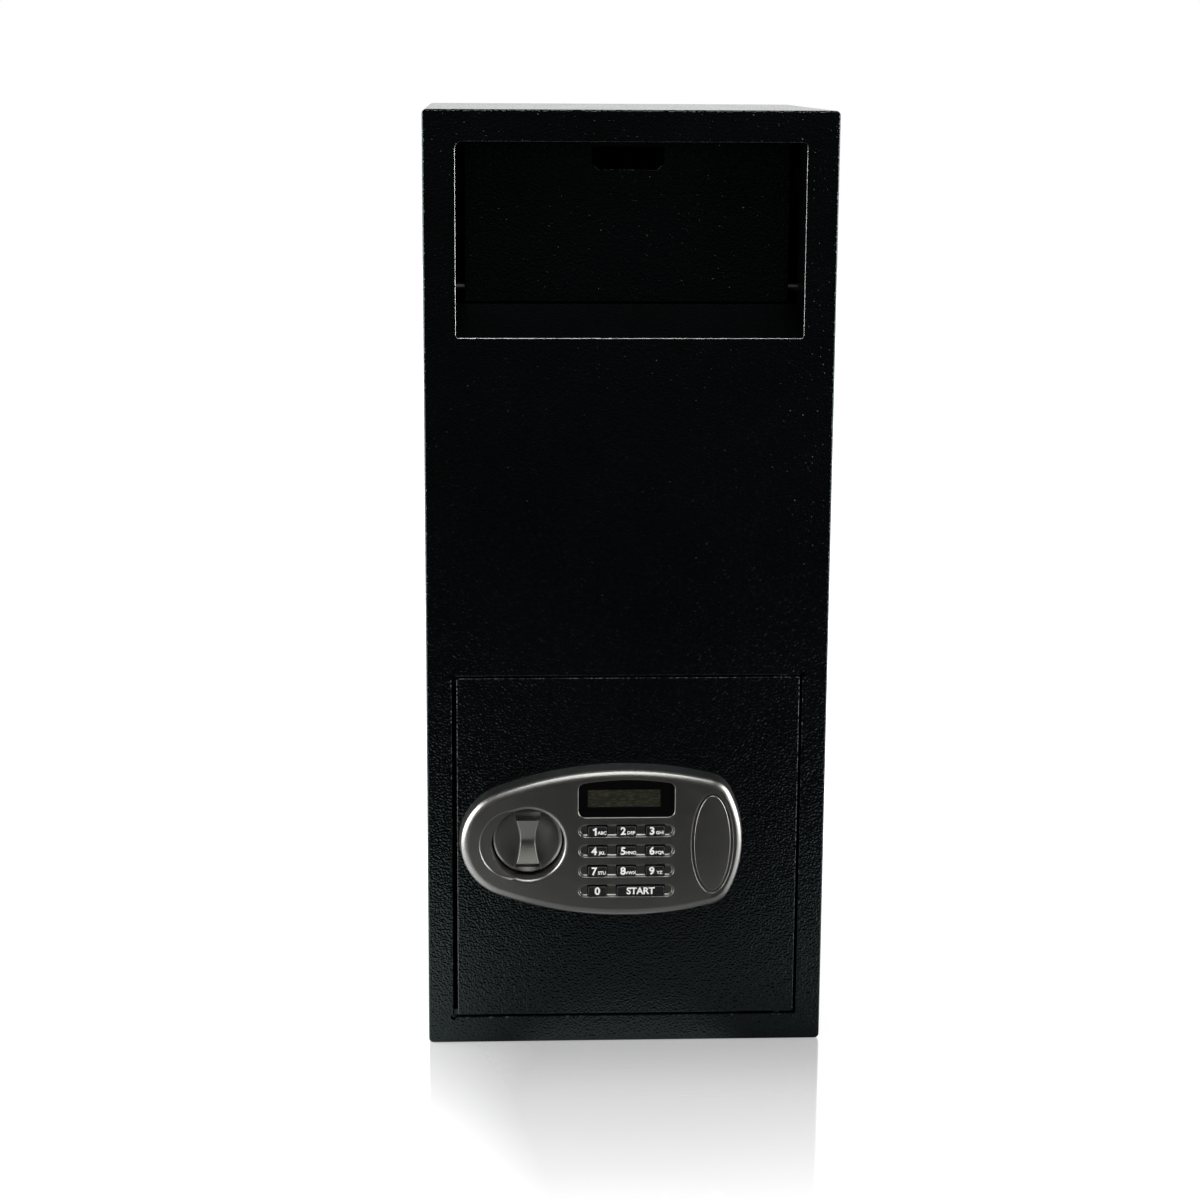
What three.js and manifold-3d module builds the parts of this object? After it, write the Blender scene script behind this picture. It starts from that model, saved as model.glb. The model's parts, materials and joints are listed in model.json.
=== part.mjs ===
// Deposit safe: a folded steel cabinet with a tilting hopper at the top and a locked door at the bottom.
// Millimetres. X runs to the right, Z up, and the front faces -Y.
// The origin is the centre of the footprint, on the underside.
import * as THREE from 'three';
import { mergeVertices } from 'three/addons/utils/BufferGeometryUtils.js';
import Module from 'manifold-3d';

const wasm = await Module();
wasm.setup();

// Cabinet
const cabinetWidth = 350;
const cabinetDepth = 350;
const cabinetHeight = 820;
const bodySheet = 2;
const frontSheet = 3;
const backSheet = 2;
const cornerRadius = 4;
const frontEdgeRadius = 1.6;
const cutEdgeRadius = 0.8;
const anchorHoleRadius = 5.5;
const anchorSpacing = 220;
const backAnchorHeight = 420;

// Clearances: parts that rest on each other, and parts that turn or slide in each other
const seat = 0.2;
const running = 0.35;

// Hopper opening and recess
const headerHeight = 26.5;
const hopperStile = 27.5;
const hopperHeight = 163.5;
const hopperCornerRadius = 2.5;
const hopperNotchRadius = 6;
const cheekSheet = 2;
const cheekSetback = 1.5;
const cheekDepth = 117;
const sillSheet = 2;
const sillReach = 47;
const sillRise = 24.5;
const sillHem = 16;

// Hopper flap, its shaft and the baffle behind it
const flapDepth = 55;
const flapSheet = 2;
const flapCornerRadius = 2;
const flapSideGap = 7.5;
const flapAbovePivot = 132.5;
const flapBelowPivot = 12;
const pivotRise = 37.5;
const pivotBehindFlap = 7;
const shaftRadius = 4;
const shaftHeadRadius = 7;
const shaftHeadLength = 3.7;
const clipRadius = 8;
const clipThickness = 1.2;
const flapHem = 12;
const slotWidth = 50.5;
const slotChamfer = 6;
const slotRise = 101;
const slotHeight = 20;
const baffleStart = 2.5;
const baffleLength = 255;
const baffleSlope = 35;
const baffleDrop = 9.5;
const baffleSheet = 2;
const toothPitch = 12;
const toothDepth = 7;
const wingInset = 8;
const wingReach = 130;
const wingHeight = 85;
const wingFoot = 12;
const stopTabReach = 15;
const stopTabHeight = 20;
const stopTabBelowTop = 30;

// Door opening, jamb and door
const doorwayStile = 22;
const doorwayHeight = 312;
const doorwayRise = 24;
const doorwayCornerRadius = 1;
const reliefRadius = 2.6;
const jambSheet = 2;
const jambDepth = 12;
const stopReach = 6;
const stopSheet = 3;
const doorSheet = 4;
const doorGapLeft = 4;
const doorGapRight = 2.2;
const doorGapTop = 1.5;
const doorGapBottom = 2;
const doorCornerRadius = 1.5;

// Concealed hinges at the door's right side
const hingeInset = 14;
const hingeSetback = 7.2;
const hingePinRadius = 3;
const hingePinReach = 9;
const lugWidth = 14;
const lugDepth = 9;
const lugHeight = 18;
const bracketWidth = 22;
const bracketHeight = 10;
const bracketDepth = 14;

// Lock panel on the door's face
const panelX = -22.5;
const panelZ = 189.5;
const panelWidth = 249.6;
const panelHeight = 136;
const panelDepth = 20;
const panelLeftRadius = 51;
const panelRightRadius = 100;
const panelCrownRadius = 320;
const panelCornerRadius = 26;
const panelDraft = 1.6;
const panelRimWidth = 7.4;
const panelRimHeight = 6.2;
const panelWall = 2.5;

// Knob in its well
const knobOffset = -64.5;
const wellRadius = 34.2;
const wellEdge = 2.3;
const wellWall = 4.5;
const knobGap = 0.6;
const knobSheet = 3.4;
const knobEdge = 0.45;
const knobLip = 2;
const knobSlope = 8;
const knobDish = 1.5;
const crescentOffset = -11.1;
const crescentRadius = 31;
const crescentDepth = 1.6;
const gripLength = 50.8;
const gripPlateau = 41;
const gripEndWidth = 20.6;
const gripWaist = 13.4;
const gripEndHeight = 7.2;
const gripWaistHeight = 4.6;
const gripEdge = 0.9;
const gripSpread = 1.4;
const spindleRadius = 4;
const spindleEnd = 23.3;
const collarRadius = 6.5;
const collarThickness = 2.7;
const camRadius = 9;
const camStart = 18;
const camThickness = 5;
const crankPinRadius = 2.5;
const crankPinEnd = 31;
const crankWall = 1.5;

// Display
const keypadOffsetX = 21.5;
const windowOffsetZ = 41.2;
const windowWidth = 85.2;
const windowHeight = 33.8;
const windowCornerRadius = 6;
const windowArch = 2.9;
const windowRecess = 0.8;
const windowFlange = 1;
const glassWidth = 63.3;
const glassHeight = 15.4;
const glassOffsetX = -2.2;
const glassOffsetZ = 0.3;
const glassCornerRadius = 0.6;
const moduleMargin = 3.5;

// Keypad
const keyRows = 4;
const keyPitchX = 25.3;
const keyPitchZ = 18.2;
const keypadOffsetZ = -15.1;
const keyWidth = 16.2;
const keyHeight = 8.8;
const keyGap = 0.8;
const keyProud = 1;
const keyFlange = 1.6;
const keyFlangeThickness = 1.1;
const keyCornerRadius = 1.5;
const keyEdgeRadius = 0.8;
const keyOpeningRadius = 1.2;
const grooveLength = 83.5;
const grooveRadius = 6.5;
const grooveDepth = 3;
const keypadBossDepth = 4.8;
const keypadMargin = 3;
const boardSetback = 9;
const boardThickness = 1.6;
const matThickness = 1;
const railWidth = 2.8;

// Override lock behind its oval cover
const ovalOffset = 96.9;
const ovalWidth = 36.8;
const ovalHeight = 91;
const ovalStep = 2;
const ovalStepDepth = 1;
const ovalCoverThickness = 2.5;
const ovalCoverEdge = 0.7;
const overrideRadius = 11;
const overrideFlange = 13;
const overrideFront = 12;
const overrideEnd = 22;
const housingFlangeReach = 6;
const housingNut = 3;
const plugRadius = 7;
const plugNeckRadius = 4;
const keywayWidth = 1.6;
const keywayHeight = 8;
const keywayDepth = 10;
const overrideCamLength = 39.5;
const overrideCamWidth = 8;
const overrideCamThickness = 3;

// Bolt work
const boltRadius = 9;
const boltSpread = 190;
const boltDepth = 28;
const boltTravel = 15;
const boltChamfer = 1.2;
const barSheet = 3;
const barWidth = 40;
const barHeight = 219;
const barSetback = 59;
const armLength = 86;
const armHeight = 20;
const armDrop = 23.5;
const studRadius = 4;
const studFlangeRadius = 7;
const studFlange = 2;
const studOffset = 10;
const studSpread = 120;
const guideSheet = 3;
const guideHeight = 239;
const guideInset = 9;
const guideDepth = 36;
const guideFoot = 18;
const guideFootSheet = 2.5;

// Solenoid that blocks the bar's arm
const plungerRadius = 4;
const plungerInset = 6;
const plungerCollarRadius = 8;
const plungerCollar = 3;
const plungerCollarRise = 28;
const plungerTop = 66;
const plungerTravel = 2;
const solenoidWidth = 32;
const solenoidDepth = 26;
const solenoidHeight = 38;
const solenoidRise = 38.7;
const solenoidSheet = 2.5;

// Control board, reset button and cable
const boardLeft = -36;
const boardWidth = 98;
const boardBottom = 252;
const boardHeight = 56;
const standoffHeight = 8;
const standoffRadius = 3;
const resetX = 45;
const resetZ = 290;
const resetRadius = 3.5;
const resetProud = 2.5;
const resetTravel = 1;
const resetFlange = 6;
const resetFlangeSheet = 1.2;
const switchSize = 10;
const chipOffset = 20;
const chipSize = 18;
const chipHeight = 2;
const cableRadius = 2;
const cableX = -10;
const cableZ = 198;
const cableHoleRadius = 6;
const connectorSize = 12;
const connectorHeight = 6;

// Lock cover, battery tray and its lid
const coverLeft = -141;
const coverRight = 118;
const coverHeight = 255;
const coverDepth = 44;
const coverSheet = 1.5;
const coverEdgeRadius = 1.2;
const coverCornerRadius = 2;
const screwRadius = 2;
const screwHeadRadius = 4.2;
const screwHead = 2.2;
const screwLength = 9;
const cellCount = 4;
const cellRadius = 7.1;
const cellLength = 49;
const cellNub = 1.2;
const cellPitch = 15.2;
const trayX = 3;
const trayZ = 105;
const trayWall = 1.5;
const trayLip = 3;
const trayLipThickness = 1;
const lidThickness = 2;
const lidCornerRadius = 2;
const lidGripLength = 18;
const lidGripPitch = 6;
const lidGripWidth = 2;

// Places worked out from the sizes above
const frontY = -cabinetDepth / 2;
const hopperWidth = cabinetWidth - 2 * hopperStile;
const doorwayWidth = cabinetWidth - 2 * doorwayStile;
const hopperTop = cabinetHeight - headerHeight;
const hopperBottom = hopperTop - hopperHeight;
const pivotZ = hopperBottom + pivotRise;
const pivotY = flapDepth + pivotBehindFlap;
const flapWidth = hopperWidth - 2 * flapSideGap;
const cheekX = hopperWidth / 2 + cheekSetback;
const doorwayTop = doorwayRise + doorwayHeight;
const doorLeft = -doorwayWidth / 2 + doorGapLeft;
const doorRight = doorwayWidth / 2 - doorGapRight;
const doorTop = doorwayTop - doorGapTop;
const doorBottom = doorwayRise + doorGapBottom;
const hingeX = doorRight - hingeInset;
const knobX = panelX + knobOffset;
const ovalX = panelX + ovalOffset;
const knobRadius = wellRadius - wellEdge - knobGap;
const barLeft = doorLeft + barSetback;
const barFront = boltDepth - barSheet / 2;
const studX = barLeft + studOffset;
const crankReach = boltTravel / Math.SQRT2;
const armTop = panelZ - armDrop;
const armRight = barLeft + barWidth + armLength;
const plungerX = armRight - plungerInset;
const faceBack = -panelDepth + panelWall;
const boardFront = -panelDepth + boardSetback;
const windowBack = faceBack + seat + 1;

// Materials
const paint = new THREE.MeshStandardMaterial({ color: 0x0b0e0f, roughness: 0.45, metalness: 0.1 });
const zincPlate = new THREE.MeshStandardMaterial({ color: 0x9a9c9a, roughness: 0.35, metalness: 0.9 });
const steel = new THREE.MeshStandardMaterial({ color: 0xb4b5b3, roughness: 0.28, metalness: 1 });
const panelGrey = new THREE.MeshStandardMaterial({ color: 0x5d5e5c, roughness: 0.38, metalness: 0.6 });
const knobGrey = new THREE.MeshStandardMaterial({ color: 0x3a3b39, roughness: 0.42, metalness: 0.4 });
const keyBlack = new THREE.MeshStandardMaterial({ color: 0x101112, roughness: 0.3, metalness: 0 });
const rubber = new THREE.MeshStandardMaterial({ color: 0x1b1b1c, roughness: 0.8, metalness: 0 });
const windowBlack = new THREE.MeshStandardMaterial({ color: 0x050505, roughness: 0.08, metalness: 0 });
const displayGlass = new THREE.MeshStandardMaterial({ color: 0x24251d, roughness: 0.2, metalness: 0 });
const board = new THREE.MeshStandardMaterial({ color: 0x1d5a36, roughness: 0.55, metalness: 0 });
const brass = new THREE.MeshStandardMaterial({ color: 0xb08d4a, roughness: 0.3, metalness: 1 });
const blackPlastic = new THREE.MeshStandardMaterial({ color: 0x17181a, roughness: 0.5, metalness: 0 });
const cellWrap = new THREE.MeshStandardMaterial({ color: 0x44484c, roughness: 0.35, metalness: 0.3 });
const redPlastic = new THREE.MeshStandardMaterial({ color: 0x9c1f1a, roughness: 0.4, metalness: 0 });

// The same geometry with its faces pointing out, whichever way round it was drawn
function outward(geometry) {
  const { position } = geometry.attributes;
  const corner = (i) => new THREE.Vector3().fromBufferAttribute(position, geometry.index.getX(i));
  let volume = 0;
  for (let i = 0; i < geometry.index.count; i += 3) {
    volume += corner(i).dot(corner(i + 1).cross(corner(i + 2)));
  }
  if (volume < 0) geometry.setIndex([...geometry.index.array].reverse());
  return geometry;
}

function closedGeometry(points, faces) {
  const geometry = new THREE.BufferGeometry();
  geometry.setAttribute('position', new THREE.Float32BufferAttribute(points.flat(), 3));
  geometry.setIndex(faces.flat());
  return outward(geometry);
}

// The triangles that close a flat ring, all turned the way the ring runs
function capFaces(ring) {
  const spans = [0, 1, 2].map((k) => {
    const values = ring.map((point) => point[k]);
    return Math.max(...values) - Math.min(...values);
  });
  const flatAxis = spans.indexOf(Math.min(...spans));
  const [u, w] = [0, 1, 2].filter((k) => k !== flatAxis);
  const outline = ring.map((point) => new THREE.Vector2(point[u], point[w]));
  const turn = Math.sign(THREE.ShapeUtils.area(outline));
  return THREE.ShapeUtils.triangulateShape(outline, []).map((face) => {
    const faceTurn = Math.sign(THREE.ShapeUtils.area(face.map((i) => outline[i])));
    return faceTurn === turn ? face : [face[0], face[2], face[1]];
  });
}

// A solid through a stack of rings with as many points each, closed by a flat face at either end
function loft(rings) {
  const size = rings[0].length;
  const faces = [];
  for (let r = 0; r + 1 < rings.length; r += 1) {
    for (let i = 0; i < size; i += 1) {
      const a = r * size + i;
      const b = r * size + ((i + 1) % size);
      faces.push([a, b, b + size], [a, b + size, a + size]);
    }
  }
  const last = (rings.length - 1) * size;
  capFaces(rings[0]).forEach(([a, b, c]) => faces.push([a, c, b]));
  capFaces(rings.at(-1)).forEach((face) => faces.push(face.map((i) => i + last)));
  return closedGeometry(rings.flat(), faces);
}

// Outlines are lists of [x, z]. A plate runs along Y between two depths.
const ringAt = (outline, y) => outline.map(([x, z]) => [x, y, z]);
const plate = (outline, y0, y1) => loft([ringAt(outline, y0), ringAt(outline, y1)]);

// A plate whose front edge is rounded; outlineAt gives the outline drawn in by a length
function roundedPlate(outlineAt, y0, y1, radius, steps = 3) {
  const edge = Math.min(radius, y1 - y0);
  const rings = [];
  for (let k = 0; k <= steps; k += 1) {
    const angle = (k / steps) * (Math.PI / 2);
    rings.push(ringAt(outlineAt(edge * (1 - Math.sin(angle))), y0 + edge * (1 - Math.cos(angle))));
  }
  if (y1 - y0 > edge) rings.push(ringAt(outlineAt(0), y1));
  return loft(rings);
}

// The tool that cuts an opening with a rounded front edge into a plate that starts at y0
function openingTool(outlineAt, y0, y1, radius, steps = 2) {
  const rings = [ringAt(outlineAt(-radius), y0 - 1)];
  for (let k = 0; k <= steps; k += 1) {
    const angle = (k / steps) * (Math.PI / 2);
    rings.push(ringAt(outlineAt(-radius * (1 - Math.sin(angle))), y0 + radius * (1 - Math.cos(angle))));
  }
  rings.push(ringAt(outlineAt(0), y1 + 1));
  return loft(rings);
}

// A rectangle with round corners; radii are for the top left, top right, bottom right and bottom left
function roundedRectangle(x, z, width, height, radii, steps = 4) {
  const [topLeft, topRight, bottomRight, bottomLeft] = Array.isArray(radii) ? radii : Array(4).fill(radii);
  const corners = [
    { side: [1, 1], radius: topRight, start: 0 },
    { side: [-1, 1], radius: topLeft, start: 1 },
    { side: [-1, -1], radius: bottomLeft, start: 2 },
    { side: [1, -1], radius: bottomRight, start: 3 },
  ];
  return corners.flatMap(({ side, radius, start }) => {
    const r = Math.max(radius, 0.05);
    const points = [];
    for (let k = 0; k <= steps; k += 1) {
      const angle = (start + k / steps) * (Math.PI / 2);
      points.push([
        x + side[0] * (width / 2 - r) + r * Math.cos(angle),
        z + side[1] * (height / 2 - r) + r * Math.sin(angle),
      ]);
    }
    return points;
  });
}

// The same rectangle as a function of how far it is drawn in
const rectangleAt = (x, z, width, height, radii, steps) => (inset) => {
  const drawn = [].concat(radii).map((r) => Math.max(r - inset, 0.05));
  const list = drawn.length === 1 ? drawn[0] : drawn;
  return roundedRectangle(x, z, width - 2 * inset, height - 2 * inset, list, steps);
};

const ellipse = (x, z, width, height, steps = 44) =>
  Array.from({ length: steps }, (_, k) => {
    const angle = (k / steps) * 2 * Math.PI;
    return [x + (width / 2) * Math.cos(angle), z + (height / 2) * Math.sin(angle)];
  });

function block([x0, x1], [y0, y1], [z0, z1]) {
  const geometry = new THREE.BoxGeometry(x1 - x0, y1 - y0, z1 - z0);
  return geometry.translate((x0 + x1) / 2, (y0 + y1) / 2, (z0 + z1) / 2);
}

// A turned solid: the profile is a list of [radius, place along the axis]
function turned(axis, profile, centre, sides = 24) {
  const geometry = new THREE.LatheGeometry(profile.map(([r, t]) => new THREE.Vector2(r, t)), sides);
  if (axis === 'x') geometry.rotateZ(-Math.PI / 2);
  if (axis === 'z') geometry.rotateX(Math.PI / 2);
  return outward(geometry.translate(...centre));
}

const rod = (axis, radius, from, to, centre, sides) =>
  turned(axis, [[0, from], [radius, from], [radius, to], [0, to]], centre, sides);

const ringSolid = (axis, inner, outer, from, to, centre, sides) =>
  turned(axis, [[inner, from], [outer, from], [outer, to], [inner, to], [inner, from]], centre, sides);

// Joining and cutting
function toSolid(geometry) {
  const plain = geometry.clone();
  plain.deleteAttribute('normal');
  plain.deleteAttribute('uv');
  const welded = mergeVertices(plain, 1e-4);
  const kept = [];
  for (let i = 0; i < welded.index.count; i += 3) {
    const [a, b, c] = [0, 1, 2].map((k) => welded.index.getX(i + k));
    if (a !== b && b !== c && c !== a) kept.push(a, b, c);
  }
  const vertProperties = welded.getAttribute('position').array;
  return new wasm.Manifold(new wasm.Mesh({ numProp: 3, vertProperties, triVerts: new Uint32Array(kept) }));
}

function toGeometry(solid) {
  const { vertProperties, triVerts } = solid.getMesh();
  const geometry = new THREE.BufferGeometry();
  geometry.setAttribute('position', new THREE.BufferAttribute(vertProperties, 3));
  geometry.setIndex(new THREE.BufferAttribute(triVerts, 1));
  return geometry;
}

const join = (first, ...others) =>
  toGeometry(others.reduce((solid, other) => solid.add(toSolid(other)), toSolid(first)));
const cut = (first, ...tools) =>
  toGeometry(tools.reduce((solid, tool) => solid.subtract(toSolid(tool)), toSolid(first)));

function add(group, name, material, geometry, position = [0, 0, 0]) {
  geometry.computeVertexNormals();
  const mesh = new THREE.Mesh(geometry, material);
  mesh.name = name;
  mesh.position.set(...position);
  group.add(mesh);
  return mesh;
}

// In these groups y is the depth behind the cabinet's front face
const assembly = new THREE.Group();
assembly.position.y = frontY;
const cabinet = new THREE.Group();
const hopper = new THREE.Group();
const door = new THREE.Group();
const boltWork = new THREE.Group();
const lockPanel = new THREE.Group();
assembly.add(cabinet, hopper, door);
door.add(boltWork, lockPanel);
hopper.position.set(0, pivotY, pivotZ);
boltWork.position.set(knobX, 0, panelZ);
lockPanel.position.set(panelX, 0, panelZ);

// Cabinet: body, back and front

const bodyAt = rectangleAt(0, cabinetHeight / 2, cabinetWidth, cabinetHeight, cornerRadius);

function bodyShell() {
  const back = cabinetDepth - backSheet;
  const holes = [-1, 1].flatMap((sx) =>
    [-1, 1].map((sy) => {
      const centre = [(sx * anchorSpacing) / 2, cabinetDepth / 2 + (sy * anchorSpacing) / 2, 0];
      return rod('z', anchorHoleRadius, -1, bodySheet + 1, centre, 16);
    }),
  );
  const inside = plate(bodyAt(bodySheet), frontSheet - 1, back + 1);
  return cut(plate(bodyAt(0), frontSheet, back), inside, ...holes);
}

function backPanel() {
  const back = cabinetDepth - backSheet;
  const holes = [-1, 1].map((s) => {
    const centre = [(s * anchorSpacing) / 2, 0, backAnchorHeight];
    return rod('y', anchorHoleRadius, back - 1, cabinetDepth + 1, centre, 16);
  });
  return cut(plate(bodyAt(0), back, cabinetDepth), ...holes);
}

const hopperOpeningAt = rectangleAt(
  0,
  hopperBottom + hopperHeight / 2,
  hopperWidth,
  hopperHeight,
  [hopperNotchRadius, hopperCornerRadius, hopperCornerRadius, hopperCornerRadius],
);
const doorwayAt = rectangleAt(
  0,
  doorwayRise + doorwayHeight / 2,
  doorwayWidth,
  doorwayHeight,
  doorwayCornerRadius,
);

function frontFrame() {
  const reliefs = [[-1, doorwayTop], [1, doorwayTop], [-1, doorwayRise]].map(([side, z]) =>
    rod('y', reliefRadius, -1, frontSheet + 1, [(side * doorwayWidth) / 2, 0, z], 14),
  );
  return cut(
    roundedPlate(bodyAt, 0, frontSheet, frontEdgeRadius, 4),
    openingTool(hopperOpeningAt, 0, frontSheet, cutEdgeRadius),
    openingTool(doorwayAt, 0, frontSheet, cutEdgeRadius),
    ...reliefs,
  );
}

// The jamb lines the doorway. Its stops meet the door's back, away from the hinge side.
function doorJamb() {
  const back = frontSheet + jambDepth;
  const stopRight = hingeX - lugWidth - bracketWidth;
  const stopFront = doorSheet + seat;
  const stop = (z0, z1) =>
    block([-doorwayWidth / 2 - jambSheet / 2, stopRight], [stopFront, stopFront + stopSheet], [z0, z1]);
  const pinHole = rod('z', hingePinRadius + running, 0, cabinetHeight, [hingeX, hingeSetback, 0], 20);
  const tube = cut(
    plate(doorwayAt(-jambSheet), frontSheet, back),
    plate(doorwayAt(0), frontSheet - 1, back + 1),
    pinHole,
  );
  return join(
    tube,
    stop(doorwayTop - stopReach, doorwayTop + jambSheet / 2),
    stop(doorwayRise - jambSheet / 2, doorwayRise + stopReach),
  );
}

function hingeBracket(z0, z1) {
  const body = block(
    [hingeX - bracketWidth / 2, hingeX + bracketWidth / 2],
    [frontSheet, frontSheet + bracketDepth],
    [z0, z1],
  );
  return cut(body, rod('z', hingePinRadius + running, z0 - 1, z1 + 1, [hingeX, hingeSetback, 0], 20));
}

// Hopper recess: cheeks with a stop tab behind the flap, and a sloped sill
function hopperCheek(side) {
  const bottom = hopperBottom - sillHem;
  const top = pivotZ + flapAbovePivot + bodySheet;
  const rear = frontSheet + cheekDepth;
  const profile = [
    [frontSheet, bottom],
    [rear - cheekDepth / 2, bottom],
    [rear, pivotZ],
    [rear, top],
    [frontSheet, top],
  ];
  const wall = loft([cheekX, cheekX + cheekSheet].map((x) => profile.map(([y, z]) => [side * x, y, z])));
  const tabFront = flapDepth + flapSheet + seat;
  const tabTop = pivotZ + flapAbovePivot - stopTabBelowTop;
  const tabX = [side * (cheekX - stopTabReach), side * (cheekX + cheekSheet / 2)].sort((a, b) => a - b);
  const tab = block(tabX, [tabFront, tabFront + cheekSheet], [tabTop - stopTabHeight, tabTop]);
  const bore = rod('x', shaftRadius + running, cheekX - 1, cheekX + cheekSheet + 1, [0, 0, 0], 20);
  if (side < 0) bore.rotateZ(Math.PI);
  bore.translate(0, pivotY, pivotZ);
  return cut(join(wall, tab), bore);
}

function hopperSill() {
  const front = frontSheet + seat;
  const rear = front + sillReach;
  const top = hopperBottom + sillRise;
  const profile = [
    [front, hopperBottom - sillHem],
    [front + sillSheet, hopperBottom - sillHem],
    [front + sillSheet, hopperBottom - sillSheet / 2],
    [rear - sillSheet, top - 1.2 * sillSheet],
    [rear - sillSheet, top - sillHem],
    [rear, top - sillHem],
    [rear, top],
    [front, hopperBottom],
  ];
  const half = cheekX - seat;
  return loft([-half, half].map((x) => profile.map(([y, z]) => [x, y, z])));
}

add(cabinet, 'body_shell', paint, bodyShell());
add(cabinet, 'back_panel', paint, backPanel());
add(cabinet, 'front_frame', paint, frontFrame());
add(cabinet, 'door_jamb', paint, doorJamb());
const bracketTop = doorwayTop + jambSheet;
const bracketBottom = doorwayRise - jambSheet;
add(cabinet, 'hinge_bracket_top', zincPlate, hingeBracket(bracketTop, bracketTop + bracketHeight));
add(cabinet, 'hinge_bracket_bottom', zincPlate, hingeBracket(bracketBottom - bracketHeight, bracketBottom));
add(cabinet, 'hopper_cheek_left', paint, hopperCheek(-1));
add(cabinet, 'hopper_cheek_right', paint, hopperCheek(1));
add(cabinet, 'hopper_sill', paint, hopperSill());

// Hopper: everything here turns about the group's origin, the shaft's axis

function hopperFlap() {
  const front = -pivotBehindFlap;
  const back = front + flapSheet;
  const height = flapAbovePivot + flapBelowPivot;
  const middle = (flapAbovePivot - flapBelowPivot) / 2;
  const sheetAt = rectangleAt(0, middle, flapWidth, height, flapCornerRadius);
  const sheet = roundedPlate(sheetAt, front, back, cutEdgeRadius, 2);
  const wingRoom = flapWidth / 2 - wingInset - baffleSheet - 1;
  const hem = block(
    [-wingRoom, wingRoom],
    [back - flapSheet / 2, front + flapHem],
    [flapAbovePivot - flapSheet, flapAbovePivot],
  );
  const bottom = slotRise;
  const half = slotWidth / 2;
  const slot = plate(
    [
      [-half, bottom],
      [half, bottom],
      [half + slotChamfer, bottom + slotChamfer],
      [half + slotChamfer, bottom + slotHeight],
      [-half - slotChamfer, bottom + slotHeight],
      [-half - slotChamfer, bottom + slotChamfer],
    ],
    front - 1,
    back + 1,
  );
  return cut(join(sheet, hem), slot);
}

// The baffle is drawn flat, with its far edge toothed, and then sloped. Its wings carry the shaft.
function hopperBaffle() {
  const half = flapWidth / 2 - wingInset;
  const teeth = Math.floor((2 * half) / toothPitch);
  const pitch = (2 * half) / teeth;
  const edge = Array.from({ length: teeth }, (_, k) => [
    [half - k * pitch, baffleLength - toothDepth],
    [half - (k + 0.5) * pitch, baffleLength],
  ]).flat();
  const outline = [[-half, baffleStart], [half, baffleStart], ...edge, [-half, baffleLength - toothDepth]];
  const depths = [-baffleDrop - baffleSheet, -baffleDrop];
  const sheet = loft(depths.map((z) => outline.map(([x, y]) => [x, y, z])));
  const slope = THREE.MathUtils.degToRad(baffleSlope);
  sheet.rotateX(-slope);
  const [run, fall] = [Math.cos(slope), Math.sin(slope)];
  const along = (t, n) => [t * run + n * fall, n * run - t * fall];
  const flapBack = -pivotBehindFlap + flapSheet + seat;
  const root = -baffleDrop - baffleSheet / 2;
  const near = along(baffleStart + 1, root);
  const far = along(wingReach, root);
  const farTop = along(wingReach, root + wingFoot);
  const profile = [
    [flapBack, wingHeight],
    [flapBack, near[1] + 1],
    near,
    far,
    farTop,
    [wingFoot, wingHeight],
  ];
  const wing = (x) => loft([x - baffleSheet, x].map((place) => profile.map(([y, z]) => [place, y, z])));
  const shaftBore = rod('x', shaftRadius + running, -half - 1, half + 1, [0, 0, 0], 20);
  return cut(join(sheet, wing(half), wing(-half + baffleSheet)), shaftBore);
}

function hopperShaft() {
  const end = cheekX + cheekSheet + seat;
  return turned('x', [
    [0, -end - shaftHeadLength],
    [shaftHeadRadius, -end - shaftHeadLength],
    [shaftHeadRadius, -end],
    [shaftRadius, -end],
    [shaftRadius, end + shaftHeadLength],
    [0, end + shaftHeadLength],
  ], [0, 0, 0], 24);
}

const clipStart = cheekX + cheekSheet + seat;
add(hopper, 'hopper_flap', paint, hopperFlap());
add(hopper, 'hopper_baffle', paint, hopperBaffle());
add(hopper, 'hopper_shaft', steel, hopperShaft());
add(hopper, 'shaft_clip', zincPlate, ringSolid(
  'x', shaftRadius + seat, clipRadius, clipStart, clipStart + clipThickness, [0, 0, 0], 24,
));

// Door panel, hinge lugs and the screw pillars behind it

const coverScrewZ = [panelZ - studSpread / 2, panelZ + studSpread / 2];

function doorPanel() {
  const width = doorRight - doorLeft;
  const height = doorTop - doorBottom;
  const centre = [doorLeft + width / 2, doorBottom + height / 2];
  const outlineAt = rectangleAt(...centre, width, height, doorCornerRadius);
  const hole = (radius, x, z) => rod('y', radius, -1, doorSheet + 1, [x, 0, z], 24);
  return cut(
    roundedPlate(outlineAt, 0, doorSheet, cutEdgeRadius, 2),
    hole(spindleRadius + running, knobX, panelZ),
    hole(overrideRadius + running, ovalX, panelZ),
    hole(cableHoleRadius, cableX, cableZ),
  );
}

function hingeLug(end, way) {
  const from = end - way * lugHeight;
  const spans = [from, end].sort((a, b) => a - b);
  const half = lugWidth / 2;
  const body = block([hingeX - half, hingeX + half], [doorSheet, doorSheet + lugDepth], spans);
  const tip = end + way * (doorGapTop + jambSheet + hingePinReach);
  const pinSpan = [from + way * 2, tip].sort((a, b) => a - b);
  return join(body, rod('z', hingePinRadius, ...pinSpan, [hingeX, hingeSetback, 0], 20));
}

add(door, 'door_panel', paint, doorPanel());
add(door, 'hinge_lug_top', zincPlate, hingeLug(doorTop, 1));
add(door, 'hinge_lug_bottom', zincPlate, hingeLug(doorBottom, -1));

// Bolt work: places here are measured from the knob's axis

const boltTip = doorLeft - knobX;
const barX = barLeft - knobX;
const barBack = barFront + barSheet;
const guideX = boltTip + guideInset;

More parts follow.
